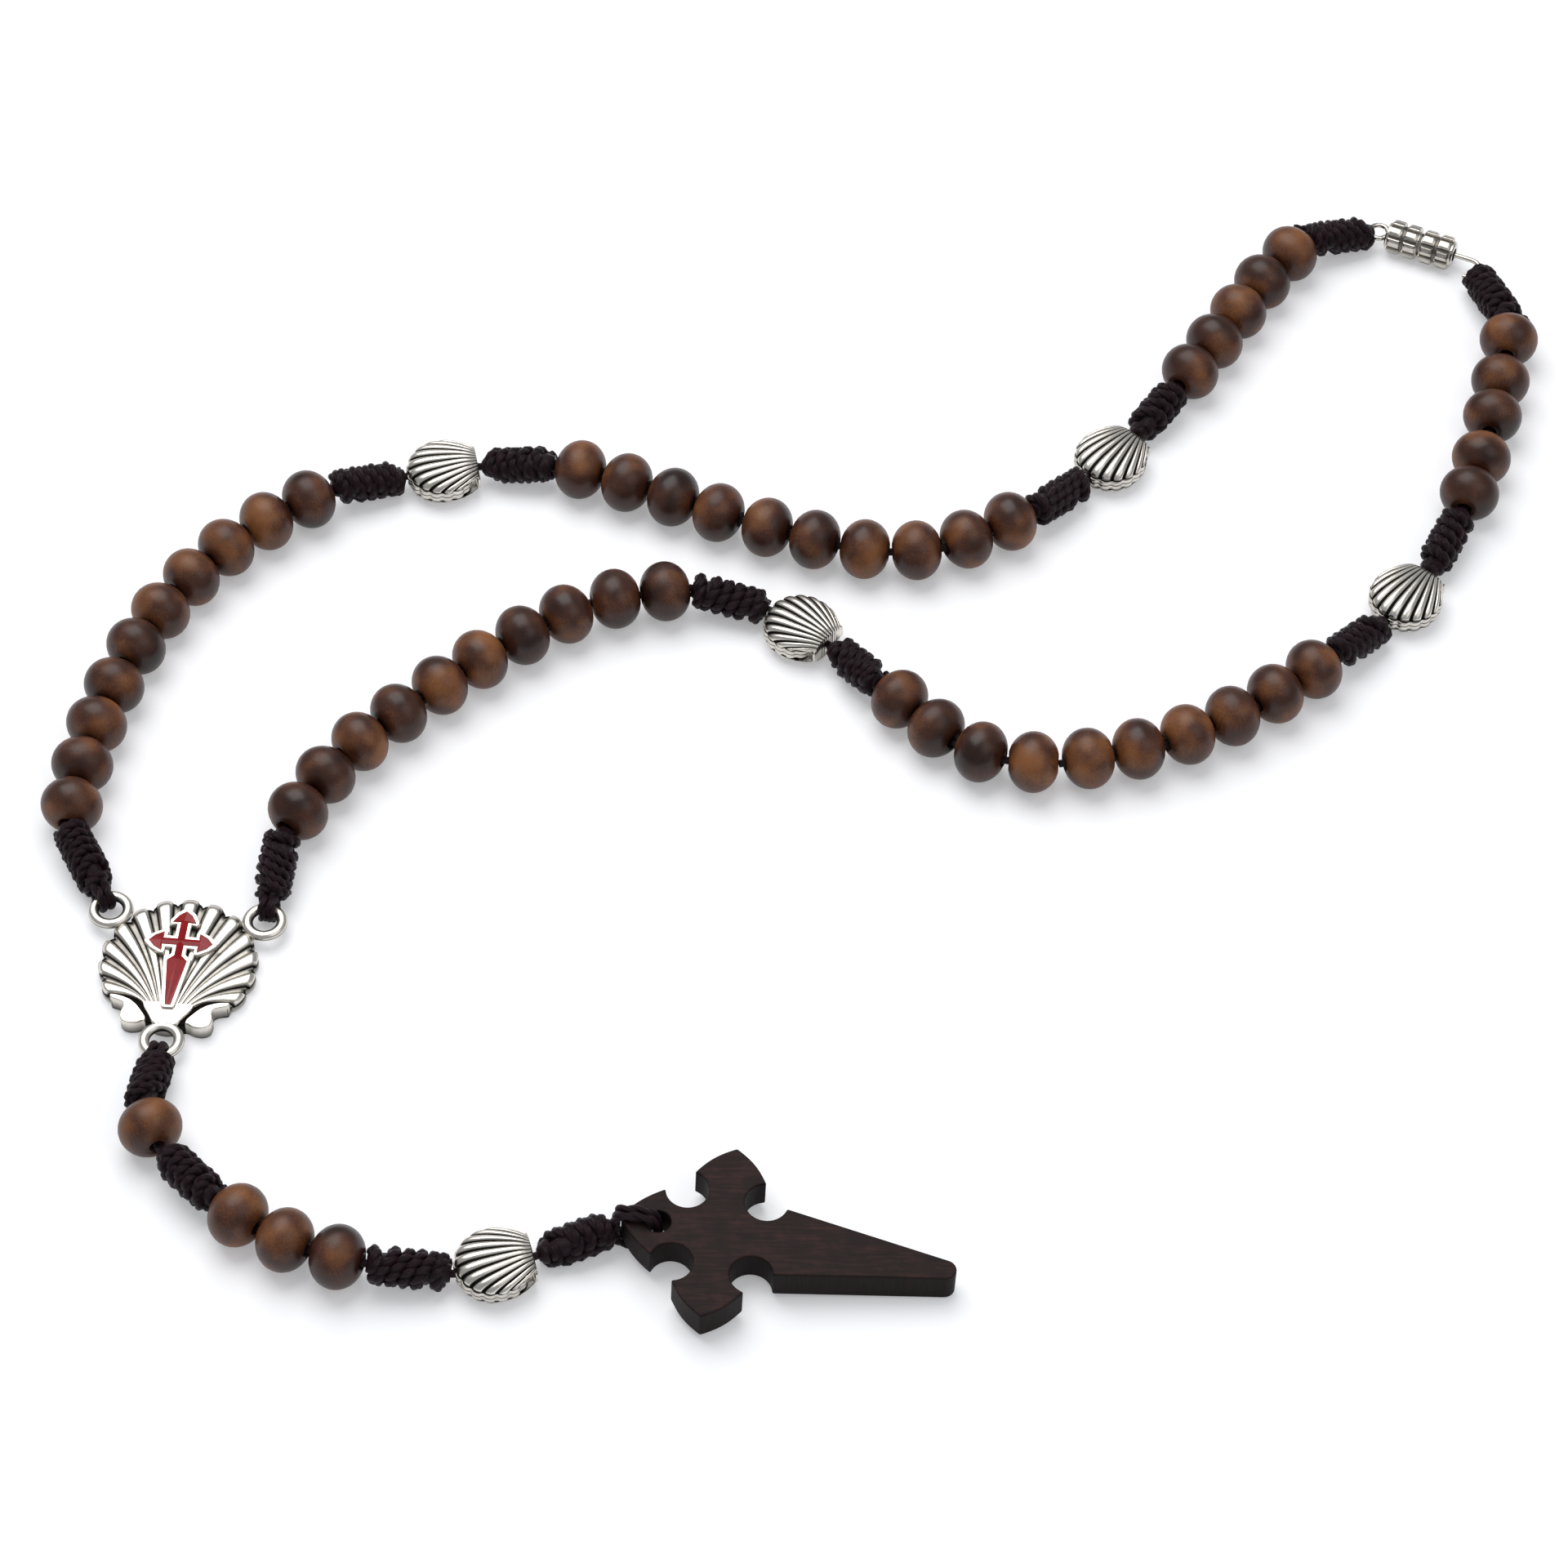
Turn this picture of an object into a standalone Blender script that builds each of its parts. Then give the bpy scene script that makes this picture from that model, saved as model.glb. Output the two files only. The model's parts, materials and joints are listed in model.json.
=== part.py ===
"""Cord rosary: wooden beads, scallop beads, a scallop medal, a barrel clasp and a St James cross.

Frame: metres, +Z up. The rosary lies flat on z = 0, and the origin is under the middle of the medal.
Two strands run from the medal's upper eyelets to the two halves of the clasp, and a tail runs from its
lower eyelet to the cross. Each strand is a chain of cord links. A link is one length of cord with its
knots. It bends against the next link where a hand-held rosary bends most, and its beads turn on it.
Every hinge has an empty whose local Z is the hinge's axis, and every turning bead has its own local Z
along its bore.
"""

import math

import bmesh
import bpy
import numpy as np
from mathutils import Matrix, Vector

MM = 0.001

# Wooden beads
BEAD_DIAMETER = 8.0 * MM
BEAD_LENGTH = 6.4 * MM
BEAD_BORE = 2.0 * MM
BEAD_NECK = 0.35 * MM  # wall round the bore where two beads are joined
BEAD_SIDES = 10
BEAD_BANDS = 5

# Cord and knots
CORD_DIAMETER = 1.0 * MM
KNOT_DIAMETER = 5.0 * MM
KNOT_LENGTH = 9.8 * MM
FIRST_TAIL_KNOT_LENGTH = 7.8 * MM
KNOT_SHOULDER = 1.8 * MM  # length over which a knot rounds off at each end

# Scallop beads
SHELL_LENGTH = 9.6 * MM
SHELL_WIDTH = 9.2 * MM
SHELL_THICKNESS = 4.8 * MM
SHELL_EDGE = 1.0 * MM  # thickness of the shell's straight edge
SHELL_HINGE_WIDTH = 4.4 * MM

# Clearances
GAP = 0.3 * MM  # between neighbours on a cord
FLEX_GAP = 0.5 * MM  # between neighbours where the strand bends
CORD_END_GAP = 0.3 * MM  # between the cords of two links
RUNNING = 0.3 * MM  # round a cord in a bore
LINK_PLAY = 0.2 * MM  # between a cord's eye and the ring or wire that it holds
FIT = 0.1 * MM  # round an inlay in its recess
TABLE_CLEARANCE = 0.1 * MM

# Medal
MEDAL_THICKNESS = 2.4 * MM
MEDAL_RIM_RADIUS = 10.0 * MM
MEDAL_RIM_CENTRE = 1.0 * MM  # the rim's centre above the medal's middle
MEDAL_LOBES = 13
MEDAL_LOBE_DEPTH = 0.35 * MM
MEDAL_RIM_END = -38.0  # degrees, where the rim meets the ears
EAR_WIDTH = 11.6 * MM
EAR_FOOT = -8.9 * MM
EYELET_HOLE = 3.3 * MM
EYELET_WIRE = 1.2 * MM
EYELET_ANGLE = 37.4  # degrees, where the upper eyelets leave the rim
EYELET_SINK = 0.5 * MM  # how far an eyelet runs into the plate
MEDAL_TURN = -5.6  # degrees about Z
ENAMEL_DEPTH = 0.6 * MM
ENAMEL_TOP = 9.9 * MM
ENAMEL_JUNCTION = 5.0 * MM
ENAMEL_FOOT = -5.0 * MM
ENAMEL_ARM = 4.0 * MM
ENAMEL_BAR = 0.9 * MM
ENAMEL_HEAD = 2.8 * MM

# Wooden cross, measured from the tip at the cord
CROSS_LENGTH = 40.6 * MM
CROSS_SPAN = 24.4 * MM
CROSS_THICKNESS = 4.3 * MM
CROSS_JUNCTION = 11.85 * MM
NOTCH_RADIUS = 2.6 * MM
NOTCH_ALONG = 4.85 * MM
NOTCH_ACROSS = 5.25 * MM
BLADE_END_WIDTH = 2.7 * MM
CROSS_HOLE = 3.0 * MM
CROSS_HOLE_FROM_TIP = 4.45 * MM
CROSS_TURN = -9.9  # degrees about Z
CROSS_LOOP_REACH = 1.0 * MM  # from the cross's tip to the face of the last knot

# Clasp
CLASP_DIAMETER = 4.8 * MM
CLASP_HALF_LENGTH = 4.75 * MM
CLASP_RING_HEIGHT = 0.25 * MM
CLASP_TURN = -23.9  # degrees about Z
CLASP_PLACE = Vector((164.3, 125.15)) * MM
MAGNET_DIAMETER = 2.9 * MM
MAGNET_LENGTH = 1.4 * MM
MAGNET_PLAY = 0.15 * MM
BAIL_WIRE = 0.7 * MM
BAIL_SEAT = 1.0 * MM  # depth of the hole that holds the bail's ends
BAIL_LEG_GAP = 0.2 * MM
LEFT_BAIL_RADIUS = 1.3 * MM
LEFT_BAIL_CENTRE = Vector((0.0, 1.3)) * MM  # across and beyond the half's outer end
LEFT_BAIL_LEAN = 19.0  # degrees from the half's axis to the cord's eye
RIGHT_BAIL_RADIUS = 1.7 * MM
RIGHT_BAIL_CENTRE = Vector((-1.7, 2.6)) * MM
RIGHT_BAIL_LEAN = -20.0

# Shape of each strand seen from above, from its eyelet outwards. The ends are worked out from the
# medal and the clasp, and the size of the whole plan from what the strands carry.
LEFT_SHAPE = [
    (-14.6, 18.0), (-14.9, 28.0), (-12.2, 40.0), (-8.1, 53.2), (-0.9, 65.2), (9.3, 74.8),
    (19.8, 80.4), (28.9, 82.6), (38.5, 83.8), (50.4, 81.4), (63.6, 75.4), (76.3, 70.2),
    (88.0, 67.2), (97.5, 68.0), (106.0, 72.2), (113.2, 78.2), (120.2, 85.6), (127.0, 94.0),
    (133.4, 103.2), (139.8, 114.2), (145.4, 121.6),
]
RIGHT_SHAPE = [
    (10.9, 14.0), (14.2, 25.4), (22.0, 36.2), (32.4, 45.2), (42.3, 53.6), (54.2, 59.8),
    (66.4, 60.6), (76.2, 57.0), (84.0, 49.6), (91.6, 40.2), (98.0, 34.4), (106.1, 31.4),
    (116.7, 32.2), (129.4, 36.6), (141.0, 44.0), (150.8, 52.7), (158.3, 61.2), (164.6, 71.4),
    (169.0, 82.8), (172.6, 97.0), (175.2, 107.8),
]
TAIL_SHAPE = [
    (-2.3, -17.0), (-1.6, -25.5), (4.4, -33.0), (13.5, -40.4), (24.5, -44.7), (36.0, -45.5),
    (48.0, -42.2), (90.0, -24.0),
]

# What each link carries, outwards: a knot, a shell, or a number of beads that turn as one piece
LEFT_LINKS = [
    ["knot", 2, 2],
    [2, 2, 2, "knot", "shell"],
    ["knot", 2, 2],
    [2, 1, 1, 2, "knot", "shell"],
    ["knot", 2, 2, 1, "knot"],
]
RIGHT_LINKS = [
    ["knot", 2, 2],
    [2, 2, 2, "knot", "shell"],
    ["knot", 2, 1, 1],
    [2, 2, 2, "knot", "shell"],
    ["knot", 2, 2, 1, "knot"],
]
TAIL_LINKS = [
    ["first tail knot", 1],
    ["knot", 1, 1, 1, "knot", "shell"],
    ["knot"],
]

# Sizes that follow from the ones above
EYELET_RADIUS = (EYELET_HOLE + EYELET_WIRE) / 2
EYE_RADIUS = (EYELET_WIRE + CORD_DIAMETER) / 2 + LINK_PLAY
EYELET_HEIGHT = EYE_RADIUS + CORD_DIAMETER / 2 + TABLE_CLEARANCE
KNOT_START = EYELET_RADIUS + EYELET_WIRE / 2 + RUNNING
BAIL_EYE_RADIUS = (BAIL_WIRE + CORD_DIAMETER) / 2 + LINK_PLAY
BAIL_EYE_OFFSET = BAIL_WIRE / 2 + RUNNING
SHELL_BORE = CORD_DIAMETER + 2 * RUNNING
BEAD_HEIGHT = BEAD_DIAMETER / 2
SHELL_HEIGHT = SHELL_THICKNESS / 2
CLASP_HEIGHT = CLASP_DIAMETER / 2
CROSS_LIFT = CORD_DIAMETER + LINK_PLAY + TABLE_CLEARANCE
CROSS_TILT = math.atan(CROSS_LIFT / (CROSS_LENGTH - CROSS_HOLE_FROM_TIP - CORD_DIAMETER))
LENGTHS = {
    "knot": KNOT_LENGTH,
    "first tail knot": FIRST_TAIL_KNOT_LENGTH,
    "shell": SHELL_LENGTH,
}


def clear_scene():
    for obj in list(bpy.data.objects):
        bpy.data.objects.remove(obj, do_unlink=True)


def new_collection(name):
    collection = bpy.data.collections.new(name)
    bpy.context.scene.collection.children.link(collection)
    return collection


def new_material(name, colour, metallic, roughness):
    material = bpy.data.materials.new(name)
    material.use_nodes = True
    shader = material.node_tree.nodes["Principled BSDF"]
    shader.inputs["Base Color"].default_value = (*colour, 1.0)
    shader.inputs["Metallic"].default_value = metallic
    shader.inputs["Roughness"].default_value = roughness
    return material


# ---------------------------------------------------------------- routes


def smooth_curve(points, steps=16):
    """Points along a Catmull-Rom curve through the given flat points."""
    points = [np.array(p, float) for p in points]
    padded = [2 * points[0] - points[1], *points, 2 * points[-1] - points[-2]]
    curve = []
    for a, b, c, d in zip(padded, padded[1:], padded[2:], padded[3:]):
        for t in np.arange(steps) / steps:
            curve.append(
                b + 0.5 * t * (c - a + t * (2 * a - 5 * b + 4 * c - d + t * (3 * (b - c) + d - a)))
            )
    return np.array(curve + [points[-1]])


class Route:
    """A smooth flat curve that is read by the distance along it."""

    def __init__(self, points):
        self.points = smooth_curve(points)
        steps = np.linalg.norm(np.diff(self.points, axis=0), axis=1)
        self.along = np.concatenate([[0.0], np.cumsum(steps)])
        self.length = float(self.along[-1])

    def at(self, distance):
        x = np.interp(distance, self.along, self.points[:, 0])
        y = np.interp(distance, self.along, self.points[:, 1])
        return Vector((x, y, 0.0))


def item_length(item):
    if item in LENGTHS:
        return LENGTHS[item]
    return item * BEAD_LENGTH + (item - 1) * GAP


def rotate_flat(vector, degrees):
    return Matrix.Rotation(math.radians(degrees), 3, "Z") @ Vector((vector[0], vector[1], 0.0))


def eyelet_centres():
    """Centres of the left, right and lower eyelets on the medal, with the medal turned."""
    reach = MEDAL_RIM_RADIUS + EYELET_RADIUS + EYELET_WIRE / 2 - EYELET_SINK
    angle = math.radians(EYELET_ANGLE)
    side = reach * math.cos(angle)
    top = MEDAL_RIM_CENTRE + reach * math.sin(angle)
    foot = EAR_FOOT - EYELET_HOLE / 2 - EYELET_WIRE + 1.7 * EYELET_SINK
    return [rotate_flat(p, MEDAL_TURN) for p in ((-side, top), (side, top), (0.0, foot))]


def bail_eye(side, middle):
    """Centre of the clasp's bail on one side, the place of the cord's eye, and its direction."""
    left = side == "left"
    outwards = rotate_flat((-1.0 if left else 1.0, 0.0), CLASP_TURN)
    across = Vector((0.0, 0.0, 1.0)).cross(outwards)
    offset = LEFT_BAIL_CENTRE if left else RIGHT_BAIL_CENTRE
    radius = LEFT_BAIL_RADIUS if left else RIGHT_BAIL_RADIUS
    lean = LEFT_BAIL_LEAN if left else RIGHT_BAIL_LEAN
    centre = middle + outwards * (GAP / 2 + CLASP_HALF_LENGTH + offset.y) + across * offset.x
    away = rotate_flat(outwards, lean)
    return centre, centre + away * radius, away


def side_route(side, scale):
    """Route of the left or right strand, from its eyelet to the clasp."""
    left = side == "left"
    eyelet = eyelet_centres()[0 if left else 1]
    shape = [Vector(p) * MM * scale for p in (LEFT_SHAPE if left else RIGHT_SHAPE)]
    _, eye, away = bail_eye(side, CLASP_PLACE.to_3d() * scale)
    knot_end = eye + away * KNOT_LENGTH / 2
    return Route([eyelet.xy, *shape, knot_end.xy, eye.xy])


def plan_scale():
    """How much the strands' shapes grow so that the left strand holds what it carries."""
    scale = 1.0
    for _ in range(8):
        strand = Strand("left", side_route("left", scale), LEFT_LINKS, 0.0, 0.0, GAP)
        scale *= (strand.end + BAIL_EYE_OFFSET) / strand.route.length
    return scale


def tail_route():
    foot = eyelet_centres()[2]
    return Route([foot.xy, *[Vector(p) * MM for p in TAIL_SHAPE]])


class Item:
    """One knot, shell or group of beads, with its two ends on the strand's axis."""

    def __init__(self, kind, start, end):
        self.kind = kind
        self.start = start
        self.end = end
        self.low = None
        self.high = None

    @property
    def is_knot(self):
        return isinstance(self.kind, str) and "knot" in self.kind

    @property
    def rest_height(self):
        return SHELL_HEIGHT if self.kind == "shell" else BEAD_HEIGHT

    @property
    def middle(self):
        return (self.low + self.high) / 2

    @property
    def direction(self):
        return (self.high - self.low).normalized()


class Strand:
    """The items of one strand laid out along its route.

    Where the strand turns, neighbours stand further apart, so that they keep their gap on the inside of
    the turn. The last link's own gap can be wider, where the strand is strung looser.
    """

    def __init__(self, name, route, links, first_height, last_height, last_gap):
        self.name = name
        self.route = route
        self.links = []
        hinge_places = [0.0]
        place = KNOT_START
        for number, link in enumerate(links):
            gap = last_gap if number == len(links) - 1 else GAP
            items = []
            for kind in link:
                if items:
                    place += self.turn_gap(place, items[-1].kind, kind, gap)
                elif self.links:
                    step = self.turn_gap(place, self.links[-1][-1].kind, kind, FLEX_GAP)
                    hinge_places.append(place + step / 2)
                    place += step
                items.append(Item(kind, place, place + item_length(kind)))
                place = items[-1].end
            self.links.append(items)
        self.end = place
        self.set_heights(first_height, last_height)
        self.pivots = [self.point(0.0, first_height)]
        for place, items in zip(hinge_places[1:], self.links):
            self.pivots.append(self.point(place, items[-1].high.z))

    def turn_gap(self, place, before, after, gap):
        low = self.route.at(place) - self.route.at(place - item_length(before))
        high = self.route.at(place + gap + item_length(after)) - self.route.at(place + gap)
        return gap + BEAD_BORE * math.tan(low.angle(high) / 2)

    def point(self, distance, height):
        return self.route.at(distance) + Vector((0.0, 0.0, height))

    def set_heights(self, first_height, last_height):
        """Beads and shells lie on the table, and a knot slopes between its neighbours."""
        items = [item for link in self.links for item in link]
        stations = [0.0]
        heights = [first_height]
        for item in items:
            if not item.is_knot:
                stations += [item.start, item.end]
                heights += [item.rest_height] * 2
        stations.append(self.end)
        heights.append(last_height)
        for item in items:
            item.low = self.point(item.start, np.interp(item.start, stations, heights))
            item.high = self.point(item.end, np.interp(item.end, stations, heights))


def side_strand(side, scale):
    """The left or right strand. What its route has to spare goes to its last link's gaps."""
    links = LEFT_LINKS if side == "left" else RIGHT_LINKS
    route = side_route(side, scale)
    last_gap = GAP
    for _ in range(8):
        strand = Strand(side, route, links, EYELET_HEIGHT, CLASP_HEIGHT, last_gap)
        spare = route.length - BAIL_EYE_OFFSET - strand.end
        last_gap += spare / (len(links[-1]) - 1)
    return strand


# ---------------------------------------------------------------- placing and shaping


def basis_along(direction, up=Vector((0.0, 0.0, 1.0))):
    """Rotation whose Z lies along direction and whose Y points as far up as it can."""
    z = direction.normalized()
    x = up.cross(z).normalized()
    return Matrix((x, z.cross(x), z)).transposed()


def put(obj, place, rotation=None, parent=None):
    """Places an object in the world and hangs it from its parent."""
    matrix = Matrix.Translation(place)
    if rotation is not None:
        matrix = matrix @ rotation.to_4x4()
    obj.matrix_world = matrix
    bpy.context.view_layer.update()
    if parent is not None:
        obj.parent = parent
        obj.matrix_parent_inverse = parent.matrix_world.inverted()
    return obj


def hinge(collection, name, place, axis, parent=None):
    """An empty on a hinge's axis, which is its local Z."""
    empty = bpy.data.objects.new(name, None)
    empty.empty_display_size = 3 * MM
    collection.objects.link(empty)
    up = Vector((0.0, 1.0, 0.0)) if abs(axis.z) > 0.9 else Vector((0.0, 0.0, 1.0))
    return put(empty, place, basis_along(axis, up), parent)


def new_object(collection, name, data, material):
    obj = bpy.data.objects.new(name, data)
    collection.objects.link(obj)
    data.materials.append(material)
    return obj


def turned(collection, name, profile, sides, material):
    """A profile of (radius, height) points, top to bottom on its outer side, turned about Z."""
    bm = bmesh.new()
    points = [bm.verts.new((radius, 0.0, height)) for radius, height in profile]
    closed = profile[0][0] > 0
    pairs = zip(points, points[1:] + points[:1] if closed else points[1:])
    for a, b in pairs:
        bm.edges.new((a, b))
    mesh = bpy.data.meshes.new(name)
    bm.to_mesh(mesh)
    bm.free()
    obj = new_object(collection, name, mesh, material)
    screw = obj.modifiers.new("Turned", "SCREW")
    screw.axis = "Z"
    screw.steps = screw.render_steps = sides
    screw.use_merge_vertices = True
    screw.merge_threshold = 0.001 * MM
    screw.use_smooth_shade = False
    return obj


def flat_curve(collection, name, outline, half_thickness, material):
    """A flat outline in the XY plane with an even thickness."""
    curve = bpy.data.curves.new(name, "CURVE")
    curve.dimensions = "2D"
    curve.fill_mode = "BOTH"
    curve.extrude = half_thickness
    spline = curve.splines.new("POLY")
    spline.points.add(len(outline) - 1)
    for point, (x, y) in zip(spline.points, outline):
        point.co = (x, y, 0.0, 1.0)
    spline.use_cyclic_u = True
    return new_object(collection, name, curve, material)


def tube_curve(collection, name, points, radii, material, cyclic=False):
    """A round tube through the points, as thick at each as its own radius."""
    curve = bpy.data.curves.new(name, "CURVE")
    curve.dimensions = "3D"
    curve.bevel_depth = max(radii)
    curve.bevel_resolution = 2
    curve.use_fill_caps = not cyclic
    spline = curve.splines.new("POLY")
    spline.points.add(len(points) - 1)
    for point, place, radius in zip(spline.points, points, radii):
        point.co = (*place, 1.0)
        point.radius = radius / curve.bevel_depth
    spline.use_cyclic_u = cyclic
    return new_object(collection, name, curve, material)


def as_mesh(collection, obj):
    """Turns a curve object into a mesh object with welded caps, in the same place."""
    graph = bpy.context.evaluated_depsgraph_get()
    mesh = bpy.data.meshes.new_from_object(obj.evaluated_get(graph))
    bm = bmesh.new()
    bm.from_mesh(mesh)
    bmesh.ops.remove_doubles(bm, verts=bm.verts, dist=0.001 * MM)
    bmesh.ops.recalc_face_normals(bm, faces=bm.faces)
    bm.to_mesh(mesh)
    bm.free()
    name, matrix = obj.name, obj.matrix_world.copy()
    bpy.data.objects.remove(obj, do_unlink=True)
    made = bpy.data.objects.new(name, mesh)
    collection.objects.link(made)
    made.matrix_world = matrix
    bpy.context.view_layer.update()
    return made


def boolean(obj, cutter, operation):
    cutter.hide_render = True
    cutter.display_type = "WIRE"
    modifier = obj.modifiers.new(cutter.name, "BOOLEAN")
    modifier.operation = operation
    modifier.object = cutter


def cylinder(collection, name, radius, length, sides, material):
    """An upright cylinder on the origin's centre."""
    bm = bmesh.new()
    bmesh.ops.create_cone(
        bm, cap_ends=True, segments=sides, radius1=radius, radius2=radius, depth=length
    )
    mesh = bpy.data.meshes.new(name)
    bm.to_mesh(mesh)
    bm.free()
    return new_object(collection, name, mesh, material)


def torus(collection, name, major, minor, material, place, rotation):
    bpy.ops.mesh.primitive_torus_add(
        major_segments=14, minor_segments=8, major_radius=major, minor_radius=minor
    )
    obj = bpy.context.object
    obj.name = name
    for owner in list(obj.users_collection):
        owner.objects.unlink(obj)
    collection.objects.link(obj)
    obj.data.materials.append(material)
    return put(obj, place, rotation)


def grown(outline, distance):
    """A clockwise or anticlockwise outline with every side moved out by distance."""
    points = [np.array(p) for p in outline]
    area = sum(a[0] * b[1] - a[1] * b[0] for a, b in zip(points, points[1:] + points[:1]))
    result = []
    for before, here, after in zip(points[-1:] + points[:-1], points, points[1:] + points[:1]):
        sides = [(here - before), (after - here)]
        normals = [np.array((d[1], -d[0])) / np.linalg.norm(d) * np.sign(area) for d in sides]
        mitre = normals[0] + normals[1]
        result.append(tuple(here + mitre * 2 * distance / np.dot(mitre, mitre)))
    return result


def arc(x, y, radius, first, last, count):
    """Points on an arc, with its ends in degrees."""
    angles = np.radians(np.linspace(first, last, count))
    return [(x + radius * math.cos(a), y + radius * math.sin(a)) for a in angles]


# ---------------------------------------------------------------- beads, shells and cords


def bead_profile(count):
    """Outer side of a row of beads from top to bottom, then the bore."""
    bore = BEAD_BORE / 2
    first = math.asin(bore / BEAD_HEIGHT)
    angles = np.linspace(first, math.pi - first, BEAD_BANDS + 1)
    widest = max(math.sin(a) for a in angles)
    half = BEAD_LENGTH / 2
    profile = []
    for number in range(count):
        middle = (item_length(count) - BEAD_LENGTH) / 2 - number * (BEAD_LENGTH + GAP)
        row = [
            [BEAD_HEIGHT * math.sin(a) / widest, middle + half * math.cos(a) / math.cos(first)]
            for a in angles
        ]
        row[0][0] = bore if number == 0 else bore + BEAD_NECK
        row[-1][0] = bore if number == count - 1 else bore + BEAD_NECK
        profile += row
    return [tuple(point) for point in profile]


def make_beads(collection, name, item, material, parent):
    beads = turned(collection, name, bead_profile(item.kind), BEAD_SIDES, material)
    corner_down = Matrix.Rotation(math.radians(90), 3, "Z")
    return put(beads, item.middle, basis_along(item.direction) @ corner_down, parent)


def shell_outline(inset):
    """Outline of a scallop bead: X across, Y along the bore, and the hinge at +Y."""
    radius = SHELL_WIDTH / 2 - inset
    foot = SHELL_LENGTH / 2 - inset
    centre = inset + radius - SHELL_LENGTH / 2
    half_hinge = SHELL_HINGE_WIDTH / 2 - inset / 2
    rim = arc(0.0, centre, radius, 150.0, 390.0, 15)
    return [*rim, (half_hinge, foot), (-half_hinge, foot)]


def make_shell(collection, cutters, name, item, material, parent):
    puff = (SHELL_THICKNESS - SHELL_EDGE) / 2
    blank = flat_curve(collection, name, shell_outline(puff), SHELL_EDGE / 2, material)
    blank.data.bevel_depth = puff
    blank.data.bevel_resolution = 1
    shell = as_mesh(collection, blank)
    shell.data.transform(Matrix.Rotation(math.radians(90), 4, "X"))
    put(shell, item.middle, basis_along(item.direction), parent)
    bore = cylinder(cutters, name + "_bore", SHELL_BORE / 2, 2 * SHELL_LENGTH, 8, material)
    put(bore, item.middle, basis_along(item.direction), parent)
    boolean(shell, bore, "DIFFERENCE")
    return shell


def knot_points(item):
    """Points and radii of a knot's swelling on the cord, with a length that follows its ends."""
    full = KNOT_DIAMETER / 2
    length = (item.high - item.low).length
    half = [
        (0.0, CORD_DIAMETER / 2),
        (0.25 * KNOT_SHOULDER, 0.62 * full),
        (0.6 * KNOT_SHOULDER, 0.9 * full),
        (KNOT_SHOULDER, full),
    ]
    other = [(length - along, radius) for along, radius in reversed(half)]
    return [(item.low + item.direction * along, radius) for along, radius in half + other]


def cord_points(strand, number):
    """Points and radii of one link's cord, from its first pivot to the next."""
    items = strand.links[number]
    first, last = items[0], items[-1]
    thin = CORD_DIAMETER / 2
    tapered = 0.6 * thin
    reach = (FLEX_GAP - CORD_END_GAP) / 2
    taper = 2 * reach
    points = []
    if number > 0:
        start = first.low - first.direction * reach
        points.append((start, tapered))
        if not first.is_knot:
            points.append((start + first.direction * taper, thin))
    for item in items:
        if item.is_knot:
            points += knot_points(item)
            continue
        if item is not first:
            points.append((item.low, thin))
        if item is not last:
            points.append((item.high, thin))
    if number < len(strand.links) - 1:
        end = last.high + last.direction * reach
        if not last.is_knot:
            points.append((end - last.direction * taper, thin))
        points.append((end, tapered))
    return points


def make_cord(collection, strand, number, material, parent):
    points = cord_points(strand, number)
    cord = tube_curve(
        collection,
        f"{strand.name}_cord_{number + 1}",
        [place for place, _ in points],
        [radius for _, radius in points],
        material,
    )
    cord = as_mesh(collection, cord)
    return put(cord, Vector(), None, parent)


def add_eye(cutters, cord, place, direction, radius, material):
    """A ring of cord in the upright plane along direction, joined to the cord's end."""
    side = Vector((0.0, 0.0, 1.0)).cross(direction).normalized()
    eye = torus(
        cutters, f"{cord.name}_eye_{len(cord.modifiers) + 1}", radius, CORD_DIAMETER / 2,
        material, place, basis_along(side),
    )
    boolean(cord, eye, "UNION")


# ---------------------------------------------------------------- medal


def medal_outline():
    """Outline of the scallop plate, anticlockwise from the right ear."""
    per_lobe = 4
    sweep = 180.0 - 2 * MEDAL_RIM_END
    rim = []
    for step in range(MEDAL_LOBES * per_lobe + 1):
        share = step / per_lobe
        angle = math.radians(MEDAL_RIM_END + sweep * share / MEDAL_LOBES)
        radius = MEDAL_RIM_RADIUS - MEDAL_LOBE_DEPTH * (1 - abs(math.sin(math.pi * share)))
        rim.append((radius * math.cos(angle), MEDAL_RIM_CENTRE + radius * math.sin(angle)))
    ear = EAR_WIDTH / 2
    half = [
        (0.42 * ear, EAR_FOOT + 0.4 * MM),
        (0.83 * ear, EAR_FOOT),
        (ear, EAR_FOOT + 1.1 * MM),
        (0.9 * ear, EAR_FOOT + 3.1 * MM),
    ]
    left = [(-x, y) for x, y in reversed(half)]
    return [*rim, *left, (0.0, EAR_FOOT), *half]


def enamel_outline():
    """Outline of the inlaid St James cross, symmetric about Y."""
    bar = ENAMEL_BAR / 2
    head = ENAMEL_HEAD / 2
    barb = 1.4 * MM
    swept = barb + 0.3 * MM
    blade = 1.25 * MM
    blade_top = ENAMEL_JUNCTION - 3.0 * MM
    half = [
        (head, ENAMEL_TOP - swept),
        (bar, ENAMEL_TOP - barb),
        (bar, ENAMEL_JUNCTION + bar),
        (ENAMEL_ARM - barb, ENAMEL_JUNCTION + bar),
        (ENAMEL_ARM - swept, ENAMEL_JUNCTION + head),
        (ENAMEL_ARM, ENAMEL_JUNCTION),
        (ENAMEL_ARM - swept, ENAMEL_JUNCTION - head),
        (ENAMEL_ARM - barb, ENAMEL_JUNCTION - bar),
        (bar, ENAMEL_JUNCTION - bar),
        (bar, blade_top + 0.8 * MM),
        (blade, blade_top),
        (0.4 * ENAMEL_BAR, ENAMEL_FOOT),
    ]
    return [(0.0, ENAMEL_TOP), *half, *[(-x, y) for x, y in reversed(half)]]


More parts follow.
